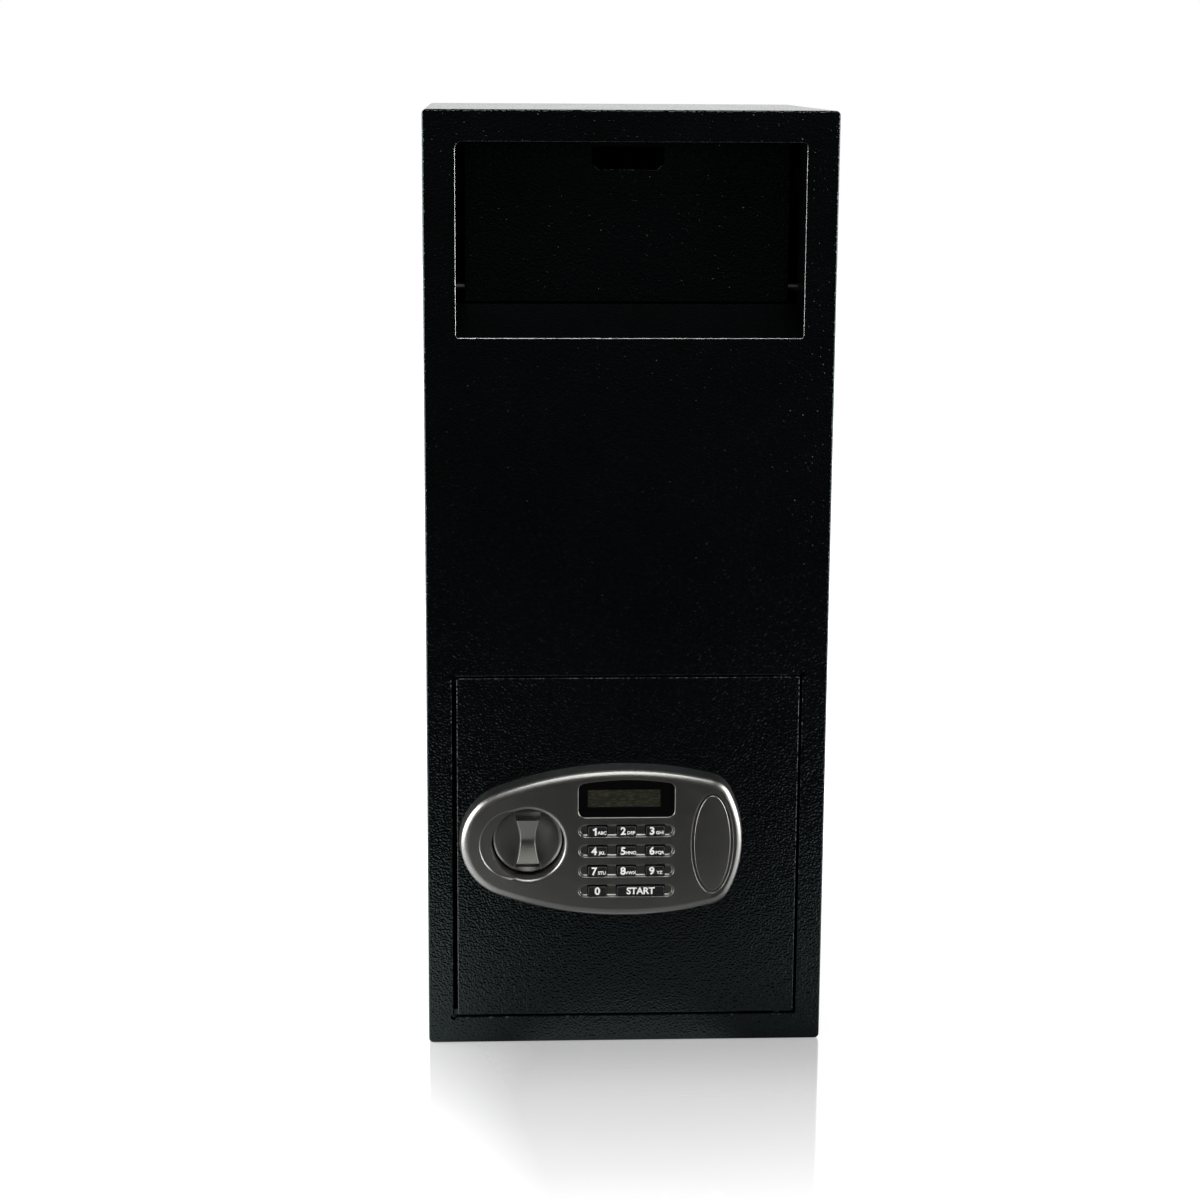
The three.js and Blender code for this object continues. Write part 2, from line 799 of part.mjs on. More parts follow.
function boltGuide() {
  const height = [-guideHeight / 2, guideHeight / 2];
  const legRight = guideX + guideSheet;
  const leg = block([guideX, legRight], [doorSheet, doorSheet + guideDepth], height);
  const foot = block([guideX, legRight + guideFoot], [doorSheet, doorSheet + guideFootSheet], height);
  const bores = [-1, 1].map((s) => {
    const centre = [0, boltDepth, (s * boltSpread) / 2];
    return rod('x', boltRadius + 2 * running, guideX - 1, legRight + 1, centre, 32);
  });
  return cut(join(leg, foot), ...bores);
}

// A slot with round ends, cut through the bar; along is the axis it runs on
function barSlot(along, from, to, across, radius) {
  const middle = (from + to) / 2;
  const length = to - from;
  const size = along === 'x' ? [length, 2 * radius] : [2 * radius, length];
  const [x, z] = along === 'x' ? [middle, across] : [across, middle];
  return plate(roundedRectangle(x, z, ...size, radius - 0.01, 5), barFront - 1, barBack + 1);
}

function boltBar() {
  const right = barX + barWidth;
  const body = block([barX, right], [barFront, barBack], [-barHeight / 2, barHeight / 2]);
  const arm = block([right - 1, right + armLength], [barFront, barBack], [-armDrop - armHeight, -armDrop]);
  const studAt = studX - knobX;
  const room = studRadius + running;
  const studSlots = [-1, 1].map((s) =>
    barSlot('x', studAt - room, studAt + room + boltTravel, (s * studSpread) / 2, room),
  );
  const half = boltTravel / 2;
  const pinRoom = crankPinRadius + 2 * running;
  const camSlot = barSlot('z', half - pinRoom, crankReach + pinRoom, half, pinRoom);
  return cut(join(body, arm), ...studSlots, camSlot);
}

const bolt = () => turned('x', [
  [0, boltTip],
  [boltRadius - boltChamfer, boltTip],
  [boltRadius, boltTip + boltChamfer],
  [boltRadius, barX],
  [0, barX],
], [0, boltDepth, 0], 32);

const stud = () => turned('y', [
  [0, doorSheet],
  [studRadius, doorSheet],
  [studRadius, barFront - running - studFlange],
  [studFlangeRadius, barFront - running - studFlange],
  [studFlangeRadius, barFront - running],
  [studRadius, barFront - running],
  [studRadius, barBack + running],
  [studFlangeRadius, barBack + running],
  [studFlangeRadius, barBack + running + studFlange],
  [studRadius, barBack + running + studFlange],
  [studRadius, coverDepth - coverSheet - seat],
  [screwRadius + running, coverDepth - coverSheet - seat],
  [screwRadius + running, coverDepth - screwLength - 1],
  [0, coverDepth - screwLength - 1],
], [studX - knobX, 0, 0], 14);

function knobCam() {
  const back = camStart + camThickness;
  const half = boltTravel / 2;
  const tipRadius = crankPinRadius + crankWall;
  const arm = block([0, crankReach], [camStart, back], [-tipRadius, tipRadius]);
  arm.rotateY(-Math.PI / 4);
  return cut(
    join(
      rod('y', camRadius, camStart, back, [0, 0, 0], 24),
      arm,
      rod('y', tipRadius, camStart, back, [half, 0, half], 16),
      rod('y', crankPinRadius, camStart, crankPinEnd, [half, 0, half], 16),
    ),
    rod('y', spindleRadius + seat, camStart - 1, back + 1, [0, 0, 0], 24),
  );
}

const spindleStart = -knobGap - knobSheet - 1;
const knobSpindle = () => turned('y', [
  [0, spindleStart],
  [spindleRadius, spindleStart],
  [spindleRadius, doorSheet + seat],
  [collarRadius, doorSheet + seat],
  [collarRadius, doorSheet + seat + collarThickness],
  [spindleRadius, doorSheet + seat + collarThickness],
  [spindleRadius, spindleEnd],
  [0, spindleEnd],
], [0, 0, 0], 24);

// The knob: a dished disc with a waisted grip, lowest and narrowest at its middle
function knob() {
  const back = -knobGap;
  const front = back - knobSheet;
  const disc = turned('y', [
    [0, back],
    [knobRadius - knobEdge, back],
    [knobRadius, back - knobEdge],
    [knobRadius, front + knobEdge],
    [knobRadius - knobEdge, front],
    [knobRadius - knobLip, front],
    [knobRadius - knobSlope, front + 0.75 * knobDish],
    [0, front + knobDish],
  ], [0, 0, 0], 40);
  const stations = [-0.5 * gripLength, -0.5, -0.33, 0, 0.33, 0.5, 0.5 * gripLength]
    .map((t) => (Math.abs(t) > 1 ? t : t * gripPlateau));
  const base = back - 0.5;
  const rings = stations.map((z) => {
    const t = Math.min(Math.abs(z) / (gripPlateau / 2), 1);
    const beyond = Math.max(Math.abs(z) - gripPlateau / 2, 0) / ((gripLength - gripPlateau) / 2);
    const rise = gripWaistHeight + (gripEndHeight - gripWaistHeight) * t * t;
    const half = (gripWaist + (gripEndWidth - gripWaist) * t * t) / 2 + gripSpread * beyond;
    const top = front - rise * (1 - beyond) - 0.3 * beyond;
    return [
      [-half - gripEdge, base, z],
      [half + gripEdge, base, z],
      [half, top + gripEdge * (1 - beyond), z],
      [half - gripEdge, top, z],
      [-half + gripEdge, top, z],
      [-half, top + gripEdge * (1 - beyond), z],
    ];
  });
  const bore = rod('y', spindleRadius + seat, spindleStart - seat, 1, [0, 0, 0], 24);
  return cut(join(disc, loft(rings)), bore);
}

add(boltWork, 'bolt_guide', zincPlate, boltGuide());
add(boltWork, 'bolt_bar', zincPlate, boltBar());
add(boltWork, 'bolt_upper', steel, bolt(), [0, 0, boltSpread / 2]);
add(boltWork, 'bolt_lower', steel, bolt(), [0, 0, -boltSpread / 2]);
add(boltWork, 'bar_stud_upper', steel, stud(), [0, 0, studSpread / 2]);
add(boltWork, 'bar_stud_lower', steel, stud(), [0, 0, -studSpread / 2]);
add(boltWork, 'knob', knobGrey, knob());
add(boltWork, 'knob_spindle', steel, knobSpindle());
add(boltWork, 'knob_cam', zincPlate, knobCam());

// Solenoid: its plunger rests on the bar's arm, and drops behind it when the bolts are thrown

const plungerBottom = armTop + seat;
const solenoidBottom = armTop + solenoidRise + seat;

function solenoidPlunger() {
  const collar = plungerBottom + plungerCollarRise;
  return turned('z', [
    [0, plungerBottom],
    [plungerRadius, plungerBottom],
    [plungerRadius, collar],
    [plungerCollarRadius, collar],
    [plungerCollarRadius, collar + plungerCollar],
    [plungerRadius, collar + plungerCollar],
    [plungerRadius, plungerBottom + plungerTop],
    [0, plungerBottom + plungerTop],
  ], [plungerX, boltDepth, 0], 20);
}

function solenoidBody() {
  const x = [plungerX - solenoidWidth / 2, plungerX + solenoidWidth / 2];
  const y = [boltDepth - solenoidDepth / 2, boltDepth + solenoidDepth / 2];
  const top = solenoidBottom + solenoidHeight;
  const feet = [[solenoidBottom, solenoidBottom + solenoidSheet], [top - solenoidSheet, top]];
  const bore = rod(
    'z',
    plungerRadius + running,
    solenoidBottom - 1,
    plungerBottom + plungerTop + 2 * plungerTravel,
    [plungerX, boltDepth, 0],
    20,
  );
  const legs = feet.map((z) => block(x, [doorSheet + seat, y[0] + 1], z));
  return cut(join(block(x, y, [solenoidBottom, top]), ...legs), bore);
}

add(door, 'solenoid_body', blackPlastic, solenoidBody());
add(door, 'solenoid_plunger', steel, solenoidPlunger());

// Control board with its switch and connector, the reset button and the cable from the keypad

const boardY = doorSheet + seat + standoffHeight;
const boardBack = boardY + boardThickness;
const coverInside = coverDepth - coverSheet;
const resetBack = coverInside - seat;
const switchTop = resetBack - resetFlange;

function controlBoard() {
  const right = boardLeft + boardWidth;
  const top = boardBottom + boardHeight;
  const inset = standoffRadius + 1;
  const legs = [boardLeft + inset, right - inset].flatMap((x) =>
    [boardBottom + inset, top - inset].map((z) =>
      rod('y', standoffRadius, doorSheet + seat, boardY + boardThickness / 2, [x, 0, z], 12),
    ),
  );
  const half = switchSize / 2;
  const parts = [
    block([resetX - half, resetX + half], [boardY, switchTop], [resetZ - half, resetZ + half]),
    block(
      [cableX - connectorSize / 2, cableX + connectorSize / 2],
      [boardY, boardBack + connectorHeight],
      [boardBottom, boardBottom + connectorHeight],
    ),
    block(
      [cableX + chipOffset, cableX + chipOffset + chipSize],
      [boardY, boardBack + chipHeight],
      [resetZ - chipSize - standoffRadius, resetZ - standoffRadius],
    ),
  ];
  return join(block([boardLeft, right], [boardY, boardBack], [boardBottom, top]), ...legs, ...parts);
}

const resetButton = () => turned('y', [
  [0, switchTop + resetTravel + running],
  [resetRadius, switchTop + resetTravel + running],
  [resetRadius, resetBack - resetFlangeSheet],
  [resetFlange, resetBack - resetFlangeSheet],
  [resetFlange, resetBack],
  [resetRadius, resetBack],
  [resetRadius, coverDepth + resetProud],
  [0, coverDepth + resetProud],
], [resetX, 0, resetZ], 20);

function lockCable() {
  const start = boardFront + boardThickness + seat;
  const runY = boardBack + cableRadius + 0.5;
  const route = new THREE.CatmullRomCurve3([
    new THREE.Vector3(cableX, start, cableZ),
    new THREE.Vector3(cableX, start + 7, cableZ),
    new THREE.Vector3(cableX, doorSheet + 2, cableZ + 1),
    new THREE.Vector3(cableX, runY - 3, cableZ + 9),
    new THREE.Vector3(cableX, runY, cableZ + 20),
    new THREE.Vector3(cableX, runY, boardBottom - 14),
    new THREE.Vector3(cableX, runY, boardBottom - seat),
  ]);
  const section = new THREE.Shape().absarc(0, 0, cableRadius, 0, 2 * Math.PI);
  const geometry = new THREE.ExtrudeGeometry(section, { steps: 22, curveSegments: 4, extrudePath: route });
  return toGeometry(toSolid(geometry));
}

add(door, 'control_board', board, controlBoard());
add(door, 'reset_button', redPlastic, resetButton());
add(door, 'lock_cable', rubber, lockCable());

// Battery tray, its cells and lid, and the cover over the bolt work

const trayInnerWidth = cellCount * cellPitch + 2 * seat;
const trayInnerHeight = cellLength + cellNub + 2;
const trayWidth = trayInnerWidth + 2 * trayWall;
const trayHeight = trayInnerHeight + 2 * trayWall;
const trayFloor = coverDepth - 2 * cellRadius - 3 * trayWall;

// The tray's lip and its lid have the same outline
const lipAt = rectangleAt(
  trayX,
  trayZ,
  trayWidth + 2 * trayLip,
  trayHeight + 2 * trayLip,
  lidCornerRadius,
);

function batteryBox() {
  const lipY = coverDepth + seat;
  return cut(
    join(
      block(
        [trayX - trayWidth / 2, trayX + trayWidth / 2],
        [trayFloor - trayWall, lipY + trayLipThickness / 2],
        [trayZ - trayHeight / 2, trayZ + trayHeight / 2],
      ),
      plate(lipAt(0), lipY, lipY + trayLipThickness),
    ),
    block(
      [trayX - trayInnerWidth / 2, trayX + trayInnerWidth / 2],
      [trayFloor, lipY + 2],
      [trayZ - trayInnerHeight / 2, trayZ + trayInnerHeight / 2],
    ),
  );
}

const batteryCell = () => turned('z', [
  [0, 0],
  [cellRadius, 0],
  [cellRadius, cellLength],
  [cellRadius / 3, cellLength],
  [cellRadius / 3, cellLength + cellNub],
  [0, cellLength + cellNub],
], [0, 0, 0], 14);

function batteryCover() {
  const front = coverDepth + seat + trayLipThickness + seat;
  const lid = plate(lipAt(0), front, front + lidThickness);
  const grips = [-1, 0, 1].map((step) => {
    const z = trayZ - trayHeight / 3 + step * lidGripPitch;
    return block(
      [trayX - lidGripLength / 2, trayX + lidGripLength / 2],
      [front + lidThickness * 0.6, front + lidThickness + 1],
      [z - lidGripWidth / 2, z + lidGripWidth / 2],
    );
  });
  return cut(lid, ...grips);
}

// The cover is open to the door and at its left, where the bolts come out
function lockCover() {
  const width = coverRight - coverLeft;
  const middle = coverLeft + width / 2;
  const outlineAt = rectangleAt(middle, panelZ, width, coverHeight, coverCornerRadius);
  const front = doorSheet + seat;
  const shell = loft([
    ringAt(outlineAt(0), front),
    ringAt(outlineAt(0), coverDepth - coverEdgeRadius),
    ringAt(outlineAt(0.3 * coverEdgeRadius), coverDepth - 0.3 * coverEdgeRadius),
    ringAt(outlineAt(coverEdgeRadius), coverDepth),
  ]);
  const inside = block(
    [coverLeft - 1, coverRight - coverSheet],
    [front - 1, coverInside],
    [panelZ - coverHeight / 2 + coverSheet, panelZ + coverHeight / 2 - coverSheet],
  );
  const hole = (radius, x, z) => rod('y', radius, coverInside - 1, coverDepth + 1, [x, 0, z], 20);
  const trayHole = block(
    [trayX - trayWidth / 2 - seat, trayX + trayWidth / 2 + seat],
    [coverInside - 1, coverDepth + 1],
    [trayZ - trayHeight / 2 - seat, trayZ + trayHeight / 2 + seat],
  );
  const screwHoles = coverScrewZ.map((z) => hole(screwRadius + running, studX, z));
  return cut(shell, inside, hole(resetRadius + running, resetX, resetZ), trayHole, ...screwHoles);
}

const coverScrew = () => turned('y', [
  [0, coverDepth - screwLength],
  [screwRadius, coverDepth - screwLength],
  [screwRadius, coverDepth + seat],
  [screwHeadRadius, coverDepth + seat],
  [screwHeadRadius, coverDepth + seat + screwHead * 0.6],
  [screwHeadRadius * 0.6, coverDepth + seat + screwHead],
  [0, coverDepth + seat + screwHead],
], [studX, 0, 0], 16);

add(door, 'battery_box', blackPlastic, batteryBox());
for (let k = 0; k < cellCount; k += 1) {
  const x = trayX + (k - (cellCount - 1) / 2) * cellPitch;
  const position = [x, trayFloor + cellRadius + seat, trayZ - trayInnerHeight / 2 + 1];
  add(door, `battery_${k + 1}`, cellWrap, batteryCell(), position);
}
add(door, 'battery_cover', blackPlastic, batteryCover());
add(door, 'lock_cover', paint, lockCover());
add(door, 'cover_screw_bottom', steel, coverScrew(), [0, 0, coverScrewZ[0]]);
add(door, 'cover_screw_top', steel, coverScrew(), [0, 0, coverScrewZ[1]]);

// Lock panel: places here are measured from the panel's centre

// Where two circles cross, on the side with the larger x
function circlesMeet([x0, z0, r0], [x1, z1, r1]) {
  const [dx, dz] = [x1 - x0, z1 - z0];
  const apart = Math.hypot(dx, dz);
  const along = (r0 * r0 - r1 * r1 + apart * apart) / (2 * apart);
  const aside = Math.sqrt(r0 * r0 - along * along);
  const foot = [x0 + (along * dx) / apart, z0 + (along * dz) / apart];
  const choices = [aside, -aside].map((t) => [foot[0] - (t * dz) / apart, foot[1] + (t * dx) / apart]);
  return choices.sort((a, b) => b[0] - a[0])[0];
}

// The egg outline: a round left end, a blunt right end, and a shallow crown above and below.
// The arcs touch smoothly, so drawing the outline in shortens every radius and keeps the centres.
const panelArcs = (() => {
  const left = [-panelWidth / 2 + panelLeftRadius, 0];
  const right = [panelWidth / 2 - panelRightRadius, 0];
  const crownZ = panelHeight / 2 - panelCrownRadius;
  const crownX = left[0] + Math.sqrt((panelCrownRadius - panelLeftRadius) ** 2 - crownZ ** 2);
  const crown = [crownX, crownZ];
  const corner = circlesMeet(
    [...right, panelRightRadius - panelCornerRadius],
    [...crown, panelCrownRadius - panelCornerRadius],
  );
  const heading = (from, to) => Math.atan2(to[1] - from[1], to[0] - from[0]);
  const endTurn = heading(right, corner);
  const cornerTurn = heading(crown, corner);
  const leftTurn = heading(crown, left);
  const upper = [
    { centre: right, radius: panelRightRadius, from: 0, to: endTurn, steps: 6 },
    { centre: corner, radius: panelCornerRadius, from: endTurn, to: cornerTurn, steps: 6 },
    { centre: crown, radius: panelCrownRadius, from: cornerTurn, to: leftTurn, steps: 8 },
    { centre: left, radius: panelLeftRadius, from: leftTurn, to: Math.PI, steps: 8 },
  ];
  const lower = [...upper].reverse().map(({ centre, radius, from, to, steps }) => (
    { centre: [centre[0], -centre[1]], radius, from: -to, to: -from, steps }
  ));
  return [...upper, ...lower];
})();

const panelOutline = (inset) =>
  panelArcs.flatMap(({ centre, radius, from, to, steps }) =>
    Array.from({ length: steps }, (_, k) => {
      const angle = from + ((to - from) * k) / steps;
      const drawn = radius - inset;
      return [centre[0] + drawn * Math.cos(angle), centre[1] + drawn * Math.sin(angle)];
    }),
  );

// The window's outline: level below, arched above, with round corners
function windowOutline(inset) {
  const half = windowWidth / 2 - inset;
  const radius = windowCornerRadius - inset;
  const bottom = windowOffsetZ - windowHeight / 2 + inset;
  const shoulder = windowOffsetZ + windowHeight / 2 - windowArch - inset;
  const arc = (x, z, start) =>
    Array.from({ length: 6 }, (_, k) => {
      const angle = (start + k / 5) * (Math.PI / 2);
      return [keypadOffsetX + x + radius * Math.cos(angle), z + radius * Math.sin(angle)];
    });
  const crown = Array.from({ length: 7 }, (_, k) => {
    const t = 1 - (2 * (k + 1)) / 8;
    return [keypadOffsetX + t * (half - radius), shoulder + windowArch * (1 - t * t)];
  });
  return [
    ...arc(half - radius, shoulder - radius, 0),
    ...crown,
    ...arc(-half + radius, shoulder - radius, 1),
    ...arc(-half + radius, bottom + radius, 2),
    ...arc(half - radius, bottom + radius, 3),
  ];
}

const keypadSpan = grooveLength + 2 * keypadMargin;
const keyRowZ = (row) => keypadOffsetZ + ((keyRows - 1) / 2 - row) * keyPitchZ;
const keyColumnX = (column) => keypadOffsetX + (column - 1) * keyPitchX;
const bossBack = faceBack + keypadBossDepth - panelWall;
const boardHalf = keypadSpan / 2 + railWidth + keypadMargin / 2;

// The eleven keys: nine digits, a tenth below them, and a wide one that fills two columns
const keys = [];
for (let row = 0; row < keyRows - 1; row += 1) {
  for (let column = 0; column < 3; column += 1) {
    const name = `key_${row * 3 + column + 1}`;
    keys.push({ name, x: keyColumnX(column), z: keyRowZ(row), width: keyWidth });
  }
}
keys.push({ name: 'key_0', x: keyColumnX(0), z: keyRowZ(keyRows - 1), width: keyWidth });
keys.push({
  name: 'key_start',
  x: (keyColumnX(1) + keyColumnX(2)) / 2,
  z: keyRowZ(keyRows - 1),
  width: keyWidth + keyPitchX,
});

function grooveTool(row) {
  const rise = grooveRadius - grooveDepth;
  const reach = Math.sqrt(grooveRadius ** 2 - rise ** 2);
  const capsule = new THREE.CapsuleGeometry(grooveRadius, grooveLength - 2 * reach, 3, 14);
  return capsule.rotateZ(Math.PI / 2).translate(keypadOffsetX, -panelDepth - rise, keyRowZ(row));
}

// The shell's wall leans in towards its rim, as moulded walls do
function faceplateShell() {
  const shoulder = panelDepth - panelRimHeight;
  const rings = [ringAt(panelOutline(0), 0)];
  for (let k = 0; k <= 4; k += 1) {
    const angle = (k / 4) * (Math.PI / 2);
    const inset = panelDraft + panelRimWidth * (1 - Math.cos(angle));
    rings.push(ringAt(panelOutline(inset), -shoulder - panelRimHeight * Math.sin(angle)));
  }
  const hollow = loft([
    ringAt(panelOutline(panelWall), 1),
    ringAt(panelOutline(panelWall + panelDraft), -shoulder + 1),
    ringAt(panelOutline(panelWall + panelDraft + panelRimWidth / 2), faceBack),
  ]);
  return cut(loft(rings), hollow);
}

function lockFaceplate() {
  const shoulderRoom = faceBack - 0.5;
  const cupOuter = wellRadius - wellEdge + wellWall;
  const rowsHeight = keyPitchZ * (keyRows - 1) + 2 * grooveRadius + 2;
  const boss = block(
    [keypadOffsetX - keypadSpan / 2, keypadOffsetX + keypadSpan / 2],
    [shoulderRoom, bossBack],
    [keypadOffsetZ - rowsHeight / 2, keypadOffsetZ + rowsHeight / 2],
  );
  const rails = [-1, 1].map((side) => {
    const edge = keypadOffsetX + side * boardHalf;
    const x = [edge, edge - side * railWidth].sort((a, b) => a - b);
    const top = windowOffsetZ + windowHeight / 2;
    return block(x, [shoulderRoom, boardFront - seat], [keypadOffsetZ - rowsHeight / 2, top]);
  });
  const crescentX = knobOffset + crescentOffset;
  const body = join(
    faceplateShell(),
    rod('y', cupOuter, shoulderRoom, 0, [knobOffset, 0, 0], 36),
    rod('y', crescentRadius + 2, shoulderRoom, faceBack + crescentDepth, [crescentX, 0, 0], 32),
    boss,
    ...rails,
  );
  const wellFloor = wellRadius - wellEdge;
  const well = turned('y', [
    [0, 1],
    [wellFloor, 1],
    [wellFloor, -panelDepth + wellEdge],
    [wellFloor + 0.3 * wellEdge, -panelDepth + 0.3 * wellEdge],
    [wellRadius, -panelDepth],
    [wellRadius, -panelDepth - 1],
    [0, -panelDepth - 1],
  ], [knobOffset, 0, 0], 48);
  const crescent = turned('y', [
    [0, -panelDepth - 1],
    [crescentRadius + 0.4, -panelDepth - 1],
    [crescentRadius, -panelDepth],
    [crescentRadius - 1, -panelDepth + crescentDepth],
    [0, -panelDepth + crescentDepth],
  ], [crescentX, 0, 0], 44);
  const keyOpenings = keys.map(({ x, z, width }) =>
    plate(
      roundedRectangle(x, z, width + 2 * keyGap, keyHeight + 2 * keyGap, keyOpeningRadius, 2),
      -panelDepth - 1,
      bossBack + 1,
    ),
  );
  const grooves = Array.from({ length: keyRows }, (_, row) => grooveTool(row));
  const oval = (inset, y) => plate(
    ellipse(ovalOffset, 0, ovalWidth - 2 * inset, ovalHeight - 2 * inset),
    -panelDepth - 1,
    y,
  );
  return cut(
    body,
    well,
    crescent,
    openingTool(windowOutline, -panelDepth, faceBack, 0.5, 2),
    ...grooves,
    ...keyOpenings,
    oval(0, -panelDepth + ovalStepDepth),
    oval(ovalStep, faceBack + 1),
  );
}

function displayWindow() {
  const front = -panelDepth + windowRecess;
  const glass = rectangleAt(
    keypadOffsetX + glassOffsetX,
    windowOffsetZ + glassOffsetZ,
    glassWidth,
    glassHeight,
    glassCornerRadius,
    2,
  );
  const lens = plate(windowOutline(0.5 * running), front, windowBack - 0.5);
  const flange = plate(windowOutline(-windowFlange), faceBack + seat, windowBack);
  return cut(join(lens, flange), plate(glass(0), front - 1, windowBack + 1));
}

function lcdModule() {
  const x = keypadOffsetX + glassOffsetX;
  const z = windowOffsetZ + glassOffsetZ;
  const front = windowBack + 0.1;
  const cell = block(
    [x - glassWidth / 2 - moduleMargin, x + glassWidth / 2 + moduleMargin],
    [front, boardFront + boardThickness / 2],
    [z - glassHeight / 2 - moduleMargin, z + glassHeight / 2 + moduleMargin],
  );
  const card = block(
    [keypadOffsetX - boardHalf, keypadOffsetX + boardHalf],
    [boardFront, boardFront + boardThickness],
    [windowOffsetZ - windowHeight / 2 - windowFlange, windowOffsetZ + windowHeight / 2],
  );
  return join(cell, card);
}

const rowsSpan = keyPitchZ * (keyRows - 1) + keyHeight + 2 * keyFlange + 2;
const keypadCard = (half, y0, y1, margin) =>
  block([keypadOffsetX - half, keypadOffsetX + half], [y0, y1], [
    keypadOffsetZ - rowsSpan / 2 - margin,
    keypadOffsetZ + rowsSpan / 2 + margin,
  ]);

// A key: a rounded cap on a flange that lies behind the faceplate
function keyCap(width) {
  const flangeFront = bossBack + seat;
  const capAt = rectangleAt(0, 0, width, keyHeight, keyCornerRadius, 2);
  const capBack = flangeFront + keyFlangeThickness / 2;
  const cap = roundedPlate(capAt, -panelDepth - keyProud, capBack, keyEdgeRadius, 1);
  const flange = plate(
    roundedRectangle(0, 0, width + 2 * (keyGap + keyFlange), keyHeight + 2 * (keyGap + keyFlange), 1, 1),
    flangeFront,
    flangeFront + keyFlangeThickness,
  );
  return join(cap, flange);
}

function overrideCover() {
  const gap = ovalStep + running;
  const outlineAt = (inset) =>
    ellipse(0, 0, ovalWidth - 2 * (gap + inset), ovalHeight - 2 * (gap + inset));
  return roundedPlate(outlineAt, -panelDepth, -panelDepth + ovalCoverThickness, ovalCoverEdge, 2);
}

function overrideLock() {
  const housing = turned('y', [
    [0, -overrideFront],
    [overrideRadius, -overrideFront],
    [overrideRadius, -housingFlangeReach],
    [overrideFlange, -housingFlangeReach],
    [overrideFlange, -seat],
    [overrideRadius, -seat],
    [overrideRadius, doorSheet + seat],
    [overrideFlange, doorSheet + seat],
    [overrideFlange, doorSheet + seat + housingNut],
    [overrideRadius, doorSheet + seat + housingNut],
    [overrideRadius, overrideEnd],
    [0, overrideEnd],
  ], [0, 0, 0], 22);
  return cut(housing, rod('y', plugRadius + running, -overrideFront - 1, overrideEnd + 1, [0, 0, 0], 24));
}

const overrideCamStart = overrideEnd + seat + 0.3;

function overridePlug() {
  const neckEnd = overrideCamStart + overrideCamThickness + 1;
  const body = turned('y', [
    [0, -overrideFront],
    [plugRadius, -overrideFront],
    [plugRadius, overrideEnd],
    [plugNeckRadius, overrideEnd],
    [plugNeckRadius, neckEnd],
    [0, neckEnd],
  ], [0, 0, 0], 24);
  const keyway = block(
    [-keywayWidth / 2, keywayWidth / 2],
    [-overrideFront - 1, -overrideFront + keywayDepth],
    [-keywayHeight / 2, keywayHeight / 2],
  );
  return cut(body, keyway);
}

function overrideCam() {
  const back = overrideCamStart + overrideCamThickness;
  const half = overrideCamWidth / 2;
  return cut(
    join(
      rod('y', plugRadius, overrideCamStart, back, [0, 0, 0], 24),
      block([-half, half], [overrideCamStart, back], [-overrideCamLength, 0]),
    ),
    rod('y', plugNeckRadius + seat, overrideCamStart - 1, back + 1, [0, 0, 0], 24),
  );
}

add(lockPanel, 'lock_faceplate', panelGrey, lockFaceplate());
add(lockPanel, 'display_window', windowBlack, displayWindow());
add(lockPanel, 'lcd_module', displayGlass, lcdModule());
const matHalf = keypadSpan / 2 + 0.5;
const matBack = boardFront - seat;
add(lockPanel, 'keypad_board', board, keypadCard(boardHalf, boardFront, boardFront + boardThickness, 2));
add(lockPanel, 'keypad_mat', rubber, keypadCard(matHalf, matBack - matThickness, matBack, 0));
keys.forEach(({ name, x, z, width }) => add(lockPanel, name, keyBlack, keyCap(width), [x, 0, z]));
add(lockPanel, 'override_cover', panelGrey, overrideCover(), [ovalOffset, 0, 0]);
add(lockPanel, 'override_lock', brass, overrideLock(), [ovalOffset, 0, 0]);
add(lockPanel, 'override_plug', brass, overridePlug(), [ovalOffset, 0, 0]);
add(lockPanel, 'override_cam', zincPlate, overrideCam(), [ovalOffset, 0, 0]);

export default assembly;
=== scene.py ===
"""Looks of the deposit safe.

Its finishes, the lock panel's fine surfaces, the key legends, the studio and the camera.
Metres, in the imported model's frame: X to the right, Z up, and the front faces -Y.
"""

import json
import math

import bmesh
import bpy
from mathutils import Matrix, Vector

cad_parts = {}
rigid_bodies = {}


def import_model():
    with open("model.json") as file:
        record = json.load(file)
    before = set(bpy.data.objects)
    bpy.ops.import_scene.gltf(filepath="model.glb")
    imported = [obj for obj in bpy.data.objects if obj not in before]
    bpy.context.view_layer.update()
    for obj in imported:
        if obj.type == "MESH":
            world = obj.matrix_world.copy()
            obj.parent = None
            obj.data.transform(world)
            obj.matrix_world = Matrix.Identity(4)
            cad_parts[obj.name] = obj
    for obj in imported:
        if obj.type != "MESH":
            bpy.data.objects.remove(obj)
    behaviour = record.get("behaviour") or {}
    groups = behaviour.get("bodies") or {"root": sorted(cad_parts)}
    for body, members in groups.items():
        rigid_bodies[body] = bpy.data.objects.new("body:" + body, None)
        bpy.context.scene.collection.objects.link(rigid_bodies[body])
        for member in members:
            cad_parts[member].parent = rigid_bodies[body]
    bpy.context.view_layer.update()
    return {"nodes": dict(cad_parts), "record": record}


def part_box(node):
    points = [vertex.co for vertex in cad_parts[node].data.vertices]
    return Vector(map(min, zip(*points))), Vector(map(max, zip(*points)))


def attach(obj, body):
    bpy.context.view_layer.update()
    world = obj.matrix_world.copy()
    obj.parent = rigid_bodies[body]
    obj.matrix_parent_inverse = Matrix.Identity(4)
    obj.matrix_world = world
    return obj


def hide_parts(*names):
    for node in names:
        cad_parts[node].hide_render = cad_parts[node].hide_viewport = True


for spare in list(bpy.data.objects):
    bpy.data.objects.remove(spare)
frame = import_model()
nodes = frame["nodes"]
scene = bpy.context.scene
scene.view_settings.view_transform = "Standard"
MM = 0.001

# Camera, fitted to the photograph

